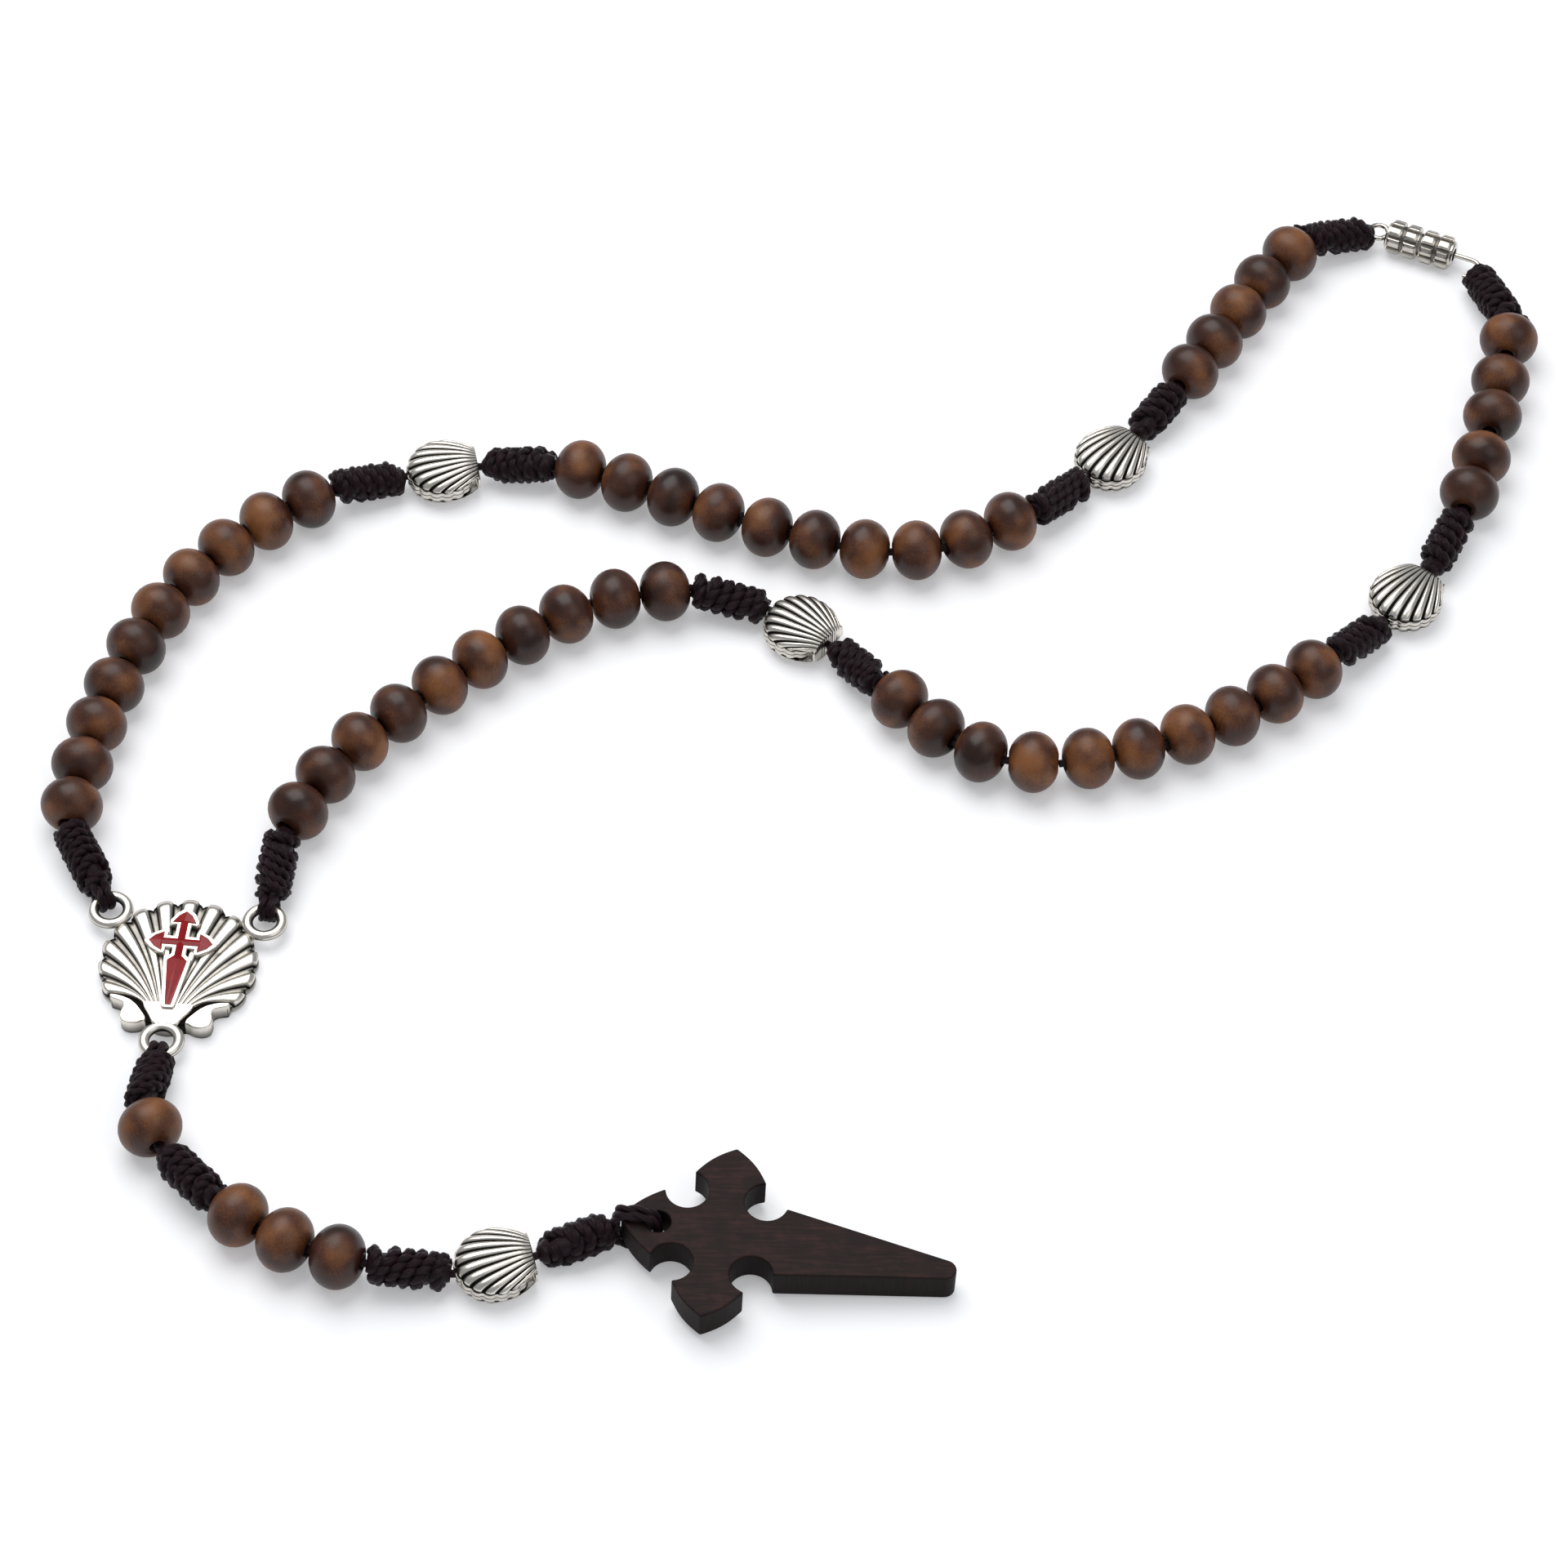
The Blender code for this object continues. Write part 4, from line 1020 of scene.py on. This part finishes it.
def ring_mesh(name, centre):
    """A cast ring, broader than it is high, with a dark line where the halves of its mould met."""
    bm = bmesh.new()
    bmesh.ops.create_circle(bm, segments=24, radius=RING_WIRE, cap_ends=False)
    stand = Matrix.Translation((RING_MIDDLE, 0, 0)) @ Matrix.Rotation(math.radians(90), 4, "X")
    move(bm, stand @ Matrix.Diagonal((RING_BREADTH, 1, 1, 1)))
    spin_round(bm, 56)

    def seam(co):
        inwards = co.to_2d().length < RING_MIDDLE
        return (0.85 if inwards else 0.55) * (abs(co.z) < (0.3 if inwards else 0.12) * MM)

    blacken(bm, seam)
    move(bm, Matrix.Translation(centre))
    return mesh_from(bm, name)


# Right half of the enamel cross and of the silver line round it, in millimetres, from the top down
ENAMEL = [
    (0.0, 8.55), (0.85, 7.9), (1.5, 6.8), (0.9, 6.75), (0.47, 6.85), (0.47, 4.22), (2.3, 4.22),
    (2.2, 4.6), (2.25, 5.22), (3.35, 4.58), (4.05, 3.75), (3.35, 2.92), (2.25, 2.28), (2.2, 2.9),
    (2.3, 3.28), (0.47, 3.28), (0.47, 1.6), (1.27, 0.85), (0.38, -5.95),
]
ENAMEL_FRAME = [
    (0.0, 9.2), (0.35, 9.0), (1.2, 8.27), (1.9, 7.06), (1.88, 6.58), (1.55, 6.36), (0.95, 6.5),
    (0.95, 4.7), (1.82, 4.7), (1.76, 5.22), (1.98, 5.6), (2.5, 5.58), (3.75, 4.88), (4.55, 4.05),
    (4.68, 3.75), (4.55, 3.45), (3.75, 2.62), (2.5, 1.92), (1.98, 1.9), (1.76, 2.28), (1.82, 2.8),
    (0.95, 2.8), (0.95, 1.9), (1.75, 1.15), (1.77, 0.75), (0.9, -6.1), (0.65, -6.4),
]
ENAMEL_ARMS = 3.75  # where the arms' middle line lies
ENAMEL_SHOULDER = 0.85  # where the blade's facets start
ENAMEL_CUTS = [(0, 0.0), (1, ENAMEL_ARMS), (1, 6.9), (1, ENAMEL_SHOULDER), (0, 2.45), (0, -2.45)]


def both_sides(half):
    """A whole outline from its right half."""
    return [*half, *[(-x, y) for x, y in reversed(half) if x != 0.0]]


def raised_face(outline, low, high):
    """A flat outline raised from low to high, and the face on its top."""
    bm = bmesh.new()
    points = [bm.verts.new((x, y, low)) for x, y in outline]
    bm.faces.new(points)
    made = bmesh.ops.extrude_face_region(bm, geom=bm.faces[:])
    top = [e for e in made["geom"] if isinstance(e, bmesh.types.BMVert)]
    bmesh.ops.translate(bm, vec=(0, 0, high - low), verts=top)
    faces = [e for e in made["geom"] if isinstance(e, bmesh.types.BMFace)]
    bmesh.ops.recalc_face_normals(bm, faces=bm.faces)
    return bm, faces


def enamel_mesh(turn):
    """The enamel: a low ridge along each arm, and facets on the blade that rise to a shoulder."""
    bm, _ = raised_face(both_sides(ENAMEL), low=2.3, high=2.83)
    for axis, at in ENAMEL_CUTS:
        normal = Vector((1, 0, 0) if axis == 0 else (0, 1, 0))
        geometry = bm.verts[:] + bm.edges[:] + bm.faces[:]
        bmesh.ops.bisect_plane(bm, geom=geometry, plane_co=normal * at, plane_no=normal, dist=1e-5)
    near = 1e-4
    for vert in bm.verts:
        x, y, z = vert.co
        upright = abs(x) < near and -5.8 < y < 8.4
        level = abs(y - ENAMEL_ARMS) < near and abs(x) < 3.9
        if z > 2.7 and (upright or level):
            vert.co.z += 0.34 if abs(y - ENAMEL_SHOULDER) < near else 0.16
    bmesh.ops.triangulate(bm, faces=[f for f in bm.faces if len(f.verts) > 4])
    move(bm, turn)
    return mesh_from(bm, "medal_enamel", smooth=False)


def enamel_frame(turn):
    """The raised silver line round the enamel."""
    bm, top = raised_face(both_sides(ENAMEL_FRAME), low=1.5, high=2.64)
    raise_in_steps(bm, top, [(0.1, 0.12)])
    blacken(bm, lambda co: 0.9 if co.z < 2.6 else 0.0)
    move(bm, turn)
    return mesh_from(bm, "medal_enamel_frame", smooth=False)


class ROSARY_OT_medal(bpy.types.Operator):
    """Casts the scallop medal, with its rings and its enamelled cross"""

    bl_idname = "rosary.medal"
    bl_label = "Medal"

    def execute(self, context):
        settings = context.scene.rosary.silver
        rings = [PLACES[f"{side}_link_1_bend"] for side in STRANDS]
        across = rings[1] - rings[0]
        turn = Matrix.Scale(MM, 4) @ Matrix.Rotation(math.atan2(across.y, across.x), 4, "Z")
        silver = antique_silver(settings, "antique_silver")
        fan = mesh_from(medal_fan(turn, settings.rib_depth / MM), "scallop_fan")
        meshes = [fan, enamel_frame(turn)]
        right_ear = rounded(EAR)
        left_ear = [(-x, y) for x, y in reversed(right_ear)]
        for name, outline, low, high, dark in (
            ("foot_plate", rounded(both_sides(FOOT_PLATE)), 0.0, 1.95, 0.8),
            ("ear_right", right_ear, 0.2, 2.3, 0.0),
            ("ear_left", left_ear, 0.2, 2.3, 0.0),
            ("tongue", rounded(both_sides(TONGUE)), 0.2, 2.45, 0.0),
        ):
            meshes.append(medal_foot_piece(f"scallop_{name}", outline, low, high, dark, turn))
        meshes += [ring_mesh(f"medal_ring_{side}", ring) for side, ring in zip(STRANDS, rings)]
        for mesh in meshes:
            link_piece(mesh, mesh.name, silver, "medal", "medal")
        enamel = red_enamel(settings)
        link_piece(enamel_mesh(turn), "medal_enamel", enamel, "medal", "enamel_cross")
        return {"FINISHED"}


# ---------------------------------------------------------------- scallop beads


# Half of a scallop bead, in millimetres, with its hinge at +Y
EAR_TIP = (3.1, 4.8)
WAIST = (2.35, 3.85)
SHELL_RADIUS = 4.85
SHELL_SHOULDER = 38.0  # degrees, where the round part of the rim ends
SHELL_HINGE_REACH = 5.9  # where the dome would come down at the hinge
SHELL_FULLNESS = 2.9  # the dome's exponent, which is 2 on a ball
SHELL_EDGE = 0.7  # least height of the ribs
SHELL_EAR = [(1.5, 4.83), (3.14, 4.83), (3.0, 4.35), (2.32, 3.45), (1.5, 3.1)]
# Height and patina of the plain band outside the ribs, by the share of the way out
SHELL_BAND = {0.976: (0.62, 1.0), 0.986: (0.72, 0.35), 1.0: (0.66, 0.1)}
SHELL_LANES = 10  # lanes of the grid for each rib
SHELL_BORE = 1.6 * MM


def shell_rim(across):
    """A place on the rim. across runs from -1 at the left ear, past 0 opposite the hinge, to 1."""
    centre = SHELL_RADIUS - SHELL_LENGTH / MM / 2
    part = min(abs(across) / 0.9, 1.0)
    angle = math.radians(-90 + (90 + SHELL_SHOULDER) * part)
    spot = Vector((SHELL_RADIUS * math.cos(angle), centre + SHELL_RADIUS * math.sin(angle)))
    spot = spot.lerp(Vector(WAIST), smooth_step(abs(across), 0.86, 1.0))
    return Vector((math.copysign(spot.x, across), spot.y))


def shell_mesh(name, place, rotation, settings):
    """A scallop bead: two ribbed domes above and below a lobed band, with a bore from hinge to rim."""
    half = SHELL_THICKNESS / MM / 2
    shares = [0.0, 0.03] + [0.97 * (1 - (1 - step / 25) ** 1.4) for step in range(2, 25)]
    shares += [0.97, *SHELL_BAND]
    wall = [(1.0, 0.1, 0.1, 0), (0.985, 0.0, 0.8, 0), (1.0, -0.1, 0.1, 0)]
    section = out_and_back(shares, wall, 1, -1)
    ribs = settings.shell_ribs
    rows = ribs * SHELL_LANES

    def place_at(station, row):
        share, height, dark, face = station
        across = 2 * row / rows - 1
        foot = Vector((EAR_TIP[0] * across, EAR_TIP[1]))
        rim = shell_rim(across)
        gap = rim - foot
        control = foot + gap / 2 + Vector((0.5 * across * (1 - across**4), 0.0))
        outermost = abs(across) > 1 - 1 / ribs
        rib, groove = shell_rib(0.0 if outermost else abs((across + 1) / 2 * ribs % 1 - 0.5))
        spot = bowed(foot, rim, control, share)
        spot *= 1 - 0.05 * (1 - rib) * share**3
        if abs(across) == 1:
            return Vector((spot.x, spot.y, 0.0)) * MM, groove
        if face:
            reach = SHELL_HINGE_REACH if spot.y > 0 else SHELL_RADIUS
            out = min(math.hypot(spot.x / SHELL_RADIUS, spot.y / reach), 1.0)
            dome = half * (1 - out**SHELL_FULLNESS) ** (1 / SHELL_FULLNESS)
            dome *= 0.94 if share == 0.0 else 1.0
            dome += (0.8 - dome) * smooth_step(abs(across), 0.9, 0.96)
            depth = (0.1 + 0.26 * share) * min(dome / 1.2, 1.0)
            height = max(dome - depth * (1 - rib), SHELL_EDGE)
            dark = groove * (0.75 + 0.25 * share)
            if share in SHELL_BAND:
                height, dark = SHELL_BAND[share]
            height *= face
        return Vector((spot.x, spot.y, height)) * MM, dark

    bm = rolled_sheet(section, rows, place_at)
    lay = placement(place, rotation @ Matrix.Rotation(math.radians(90), 3, "X"))
    move(bm, lay)
    ears = []
    for turn in (0, 180):
        ear, _ = raised_face(SHELL_EAR, -0.95, 0.95)
        bmesh.ops.bevel(
            ear, geom=ear.edges[:], offset=0.22, segments=3, profile=0.5, affect="EDGES",
            material=-1, clamp_overlap=True,
        )
        move(ear, lay @ Matrix.Scale(MM, 4) @ Matrix.Rotation(math.radians(turn), 4, "Y"))
        ears.append(mesh_from(ear, "ear"))
    bore = cylinder(SHELL_BORE, 14 * MM, 16)
    move(bore, placement(place, rotation))
    body = combine(mesh_from(bm, name), ears, "UNION")
    return combine(body, [mesh_from(bore, "bore")], "DIFFERENCE")


class ROSARY_OT_shells(bpy.types.Operator):
    """Casts the scallop beads"""

    bl_idname = "rosary.shells"
    bl_label = "Scallop beads"

    def execute(self, context):
        settings = context.scene.rosary.silver
        silver = antique_silver(settings, "antique_silver_beads")
        for item in strung("shell"):
            name = item.node.replace("shell", "scallop_bead")
            mesh = shell_mesh(name, item.middle, basis_along(item.direction), settings)
            mesh.shade_smooth()
            link_piece(mesh, name, silver, item.node, item.node)
        return {"FINISHED"}


# ---------------------------------------------------------------- clasp


def clasp_face(side):
    """The place of a half's flat face and the direction from it to its bail."""
    bail = BAILS[side]
    outwards = clasp_outwards(side)
    back = outwards * (CLASP_HALF_LENGTH + bail["beyond"]) + UP.cross(outwards) * bail["across"]
    return PLACES[f"clasp_{side}_swing"] - back, outwards


def clasp_half_mesh(name, place, rotation, settings):
    """Half of the barrel, turned, with two rows of domed studs raised on it."""
    outer = settings.diameter / 2
    core = outer - 0.55 * MM
    end = CLASP_HALF_LENGTH
    hole = settings.wire + 0.25 * MM
    pocket = 1.6 * MM
    rows = [(0.16 * MM, 2.04 * MM), (2.46 * MM, 4.34 * MM)]
    profile = [(hole, end - 1.0 * MM), (hole, end), (core - 0.2 * MM, end), (core, end - 0.2 * MM)]
    for low, high in reversed(rows):
        profile += [(core, high), (core, low)]
    profile += [(core, 0.08 * MM), (core - 0.08 * MM, 0.0), (pocket, 0.0), (pocket, 1.7 * MM)]
    bm = turned([(0.0, end - 1.0 * MM), *profile, (0.0, 1.7 * MM)], settings.studs * 6)
    bmesh.ops.remove_doubles(bm, verts=bm.verts, dist=MERGE)
    bmesh.ops.recalc_face_normals(bm, faces=bm.faces)
    studs = []
    for face in bm.faces:
        spot = face.calc_center_median()
        away = spot.to_2d().length
        sector = math.degrees(math.atan2(spot.y, spot.x)) % 360 / 360 * settings.studs
        on_row = any(low < spot.z < high for low, high in rows)
        if on_row and away > core * 0.97 and sector % 1 < 5 / 6:
            studs.append(face)
        elif core * 0.9 < away < core * 1.05 and rows[0][0] < spot.z < rows[-1][1]:
            # between the studs: the second material, whose darker colour is painted shade
            face.material_index = 1
    raise_in_steps(bm, studs, ((0.04 * MM, 0.3 * MM), (0.12 * MM, 0.14 * MM), (0.22 * MM, 0.07 * MM)))
    move(bm, placement(place, rotation))
    return mesh_from(bm, name, smooth=False)


def bail_points(side):
    """The line of a bail's wire, across and along the half's axis."""
    bail = BAILS[side]
    end = CLASP_HALF_LENGTH
    seat = end - 0.85 * MM
    leg = 0.45 * MM
    if side == "left":
        loop = arc(0.0, end + bail["beyond"], bail["radius"], -35.0, 215.0, 25)
        flat = [(leg, seat), (leg, end), *loop, (-leg, end), (-leg, seat)]
    else:
        centre = bail["across"]
        loop = arc(centre, end + bail["beyond"], bail["radius"], 0.0, 185.0, 21)
        foot = centre + bail["radius"]
        flat = [(foot, seat), (foot, end), (foot, end + 0.5 * bail["beyond"]), *loop]
    return [Vector((x, 0.0, z)) for x, z in flat]


class ROSARY_OT_clasp(bpy.types.Operator):
    """Makes the studded barrel clasp in its two halves, with their wire bails and magnets"""

    bl_idname = "rosary.clasp"
    bl_label = "Clasp"

    def execute(self, context):
        settings = context.scene.rosary.clasp
        # Cast brass, nickel plated and bright: small facets that flash white beside dark ones.
        nickel = plated_metal("bright_nickel", settings.colour, 0.18, 0.9)
        # The same plating between the studs, with painted shade: darker, and duller.
        hollow = plated_metal("nickel_with_painted_shade", linear("#6e6a66"), 0.35, 0.9)
        # Ground and nickel-washed magnet alloy: dull grey, and only seen when the clasp is open.
        steel = plated_metal("magnet_steel", linear("#8f8f92"), 0.35, 2.5)
        for side in ("left", "right"):
            face, outwards = clasp_face(side)
            rotation = basis_along(outwards)
            body = f"clasp_{side}"
            mesh = clasp_half_mesh(f"{body}_barrel", face, rotation, settings)
            shades = [polygon.material_index for polygon in mesh.polygons]
            link_piece(mesh, f"{body}_barrel", nickel, body, f"{body}_half")
            mesh.materials.append(hollow)
            mesh.polygons.foreach_set("material_index", shades)
            place = placement(face, rotation)
            points = [place @ Vector(point) for point in smooth_path(bail_points(side), 3)]
            wire = strip_mesh(f"{body}_wire", [(points, settings.wire / 2)], 4)
            link_piece(wire, f"{body}_wire", nickel, body, f"{body}_bail")
            magnet = frame["nodes"][f"{body}_magnet"]
            magnet.data.materials.clear()
            magnet.data.materials.append(steel)
        return {"FINISHED"}


# ---------------------------------------------------------------- wooden cross


def swelling(start, end, out, count):
    """Points from start to end on a curve that swells out sideways in the middle."""
    start, end = Vector(start), Vector(end)
    side = Vector(((end - start).y, -(end - start).x)).normalized() * out
    shares = [(i + 1) / (count + 1) for i in range(count)]
    return [tuple(start.lerp(end, t) + side * math.sin(math.pi * t)) for t in shares]


def cross_outline():
    """Outline of the wooden cross in millimetres, from its tip at the cord."""
    junction, span = CROSS_JUNCTION / MM, CROSS_SPAN / MM / 2
    notch, along, across = 2.6, 4.85, 5.25
    end = 1.35
    long = CROSS_LENGTH / MM
    first = arc(junction - along, across, notch, 190.0, 440.0, 30)
    second = arc(junction + along, across, notch, 100.0, 350.0, 30)
    tip = (junction, span)
    half = [
        (0.0, 0.35), *swelling((0.0, 0.35), first[0], -0.35, 6), *first,
        *swelling(first[-1], tip, -0.45, 8), tip, *swelling(tip, second[0], -0.45, 8), *second,
        *arc(long - end, 0.0, end, 80.0, 10.0, 8),
    ]
    return [*half, *[(x, -y) for x, y in reversed(half)]]


class ROSARY_OT_cross(bpy.types.Operator):
    """Cuts out the wooden cross"""

    bl_idname = "rosary.cross"
    bl_label = "Wooden cross"

    def execute(self, context):
        settings = context.scene.rosary.cross
        hole_place = PLACES["cross_swing"]
        reach = CROSS_HOLE_FROM_TIP / MM
        half = CROSS_THICKNESS / MM / 2
        outline = [(x - reach, y) for x, y in cross_outline()]
        bm, _ = raised_face(outline, -half, half)
        move(bm, Matrix.Scale(MM, 4))
        drill = cylinder(settings.hole, 3 * CROSS_THICKNESS, 32)
        mesh = combine(mesh_from(bm, "blank", smooth=False), [mesh_from(drill, "drill")], "DIFFERENCE")
        tilt = math.radians(CROSS_TILT)
        far = CROSS_LENGTH - CROSS_HOLE_FROM_TIP
        height = far * math.sin(tilt) + CROSS_THICKNESS / 2 * math.cos(tilt)
        turn = Matrix.Rotation(math.radians(CROSS_TURN), 3, "Z") @ Matrix.Rotation(tilt, 3, "Y")
        mesh.transform(placement(Vector((hole_place.x, hole_place.y, height)), turn))
        wood = stained_cross_wood(settings)
        cross = link_piece(mesh, "cut_out_cross", wood, "cross", "wooden_cross")
        mesh.materials.append(shaded_side_wood(settings))
        # The upright sides take the second material, whose dark colour is painted shade.
        for polygon in mesh.polygons:
            polygon.material_index = int(abs(polygon.normal.z) < 0.5)
        bevel = cross.modifiers.new("Rounded edges", "BEVEL")
        bevel.width = settings.edge
        bevel.segments = 3
        bevel.limit_method = "ANGLE"
        bevel.angle_limit = math.radians(50)
        bevel.use_clamp_overlap = True
        return {"FINISHED"}


# ---------------------------------------------------------------- stage


def seen_directly(add):
    """1 for what the camera sees, also in metal or through glass, and 0 for what only gives light."""
    rays = [add("LightPath", out=f"Is {kind} Ray") for kind in ("Camera", "Glossy", "Transmission")]
    seen = add("Math", {0: rays[0], 1: rays[1]}, operation="MAXIMUM")
    return add("Math", {0: seen, 1: rays[2]}, operation="MAXIMUM")


def aim(obj, back):
    """Sets a lamp or camera back from the rosary's middle and turns it there."""
    obj.location = STAGE_MIDDLE + back
    obj.rotation_euler = (-back).to_track_quat("-Z", "Y").to_euler()


class ROSARY_OT_stage(bpy.types.Operator):
    """Sets the pale table, the soft studio light and the camera"""

    bl_idname = "rosary.stage"
    bl_label = "Stage"

    def execute(self, context):
        settings = context.scene.rosary.stage
        scene = context.scene
        scene.view_settings.view_transform = "Standard"

        bm = bmesh.new()
        bmesh.ops.create_grid(bm, x_segments=1, y_segments=1, size=3.0)
        bmesh.ops.translate(bm, vec=STAGE_MIDDLE - UP * TABLE_DEPTH, verts=bm.verts)
        mesh = mesh_from(bm, "table")
        add_object("table", mesh)
        # Plain white card. What the camera sees of it is lifted to white where no shadow falls.
        material, add = start_material(
            "white_card", Roughness=0.9, Specular_IOR_Level=0.0, Base_Color=(*settings.floor, 1.0),
            Emission_Color=(1.0, 1.0, 1.0, 1.0),
        )
        lift = add("Math", {0: seen_directly(add), 1: FLOOR_LIFT}, operation="MULTIPLY")
        mesh.materials.append(feed_shader(material, Emission_Strength=lift))

        world = scene.world or bpy.data.worlds.new("room")
        scene.world = world
        world.use_nodes = True
        tree = world.node_tree
        tree.nodes.clear()
        sky = {"Color": (0.93, 0.96, 1.0, 1.0), "Strength": settings.sky}
        add_node(tree, "OutputWorld", {"Surface": add_node(tree, "Background", sky)})

        for name, place, size, share in (
            ("soft_lamp", (-0.16, 0.32, 0.8), 0.8, 1.0),
            ("fill_lamp", (0.5, -0.35, 0.8), 0.7, 0.2),
        ):
            light = bpy.data.lights.new(name, "AREA")
            light.energy = settings.lamp * share
            light.color = (1.0, 0.985, 0.965)
            light.size = size
            aim(add_object(name, light), Vector(place))

        data = bpy.data.cameras.new("camera")
        data.lens = settings.lens
        data.sensor_width = 36.0
        scene.camera = add_object("camera", data)
        back = Vector((0.0, -math.cos(settings.elevation), math.sin(settings.elevation)))
        aim(scene.camera, back * settings.distance)
        return {"FINISHED"}


# ---------------------------------------------------------------- add-on


OPERATORS = (
    ROSARY_OT_stage,
    ROSARY_OT_cords,
    ROSARY_OT_beads,
    ROSARY_OT_shells,
    ROSARY_OT_medal,
    ROSARY_OT_clasp,
    ROSARY_OT_cross,
)


class ROSARY_PT_panel(bpy.types.Panel):
    """Lists the rosary's pieces with their settings"""

    bl_idname = "ROSARY_PT_panel"
    bl_label = "Rosary"
    bl_space_type = "VIEW_3D"
    bl_region_type = "UI"
    bl_category = "Rosary"

    def draw(self, context):
        layout = self.layout
        for operator in OPERATORS:
            layout.operator(operator.bl_idname)
        settings = context.scene.rosary
        for group in ("beads", "cord", "silver", "clasp", "cross", "stage"):
            box = layout.box()
            box.label(text=group.capitalize())
            values = getattr(settings, group)
            for name in values.__annotations__:
                box.prop(values, name)


GROUPS = (
    BeadSettings, CordSettings, SilverSettings, ClaspSettings, CrossSettings, StageSettings,
    RosarySettings,
)


def register():
    for item in (*GROUPS, *OPERATORS, ROSARY_PT_panel):
        bpy.utils.register_class(item)
    bpy.types.Scene.rosary = PointerProperty(type=RosarySettings)


def unregister():
    del bpy.types.Scene.rosary
    for item in reversed((*GROUPS, *OPERATORS, ROSARY_PT_panel)):
        bpy.utils.unregister_class(item)


def clear_startup():
    """Takes away what a new file starts with, and leaves the frame."""
    for obj in list(bpy.data.objects):
        if obj.type in ("CAMERA", "LIGHT") or (obj.type == "MESH" and "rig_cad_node" not in obj):
            bpy.data.objects.remove(obj, do_unlink=True)


def main():
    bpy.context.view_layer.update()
    clear_startup()
    register()
    bpy.ops.rosary.stage()
    bpy.ops.rosary.cords()
    bpy.ops.rosary.beads()
    bpy.ops.rosary.shells()
    bpy.ops.rosary.medal()
    bpy.ops.rosary.clasp()
    bpy.ops.rosary.cross()


if __name__ == "__main__":
    main()
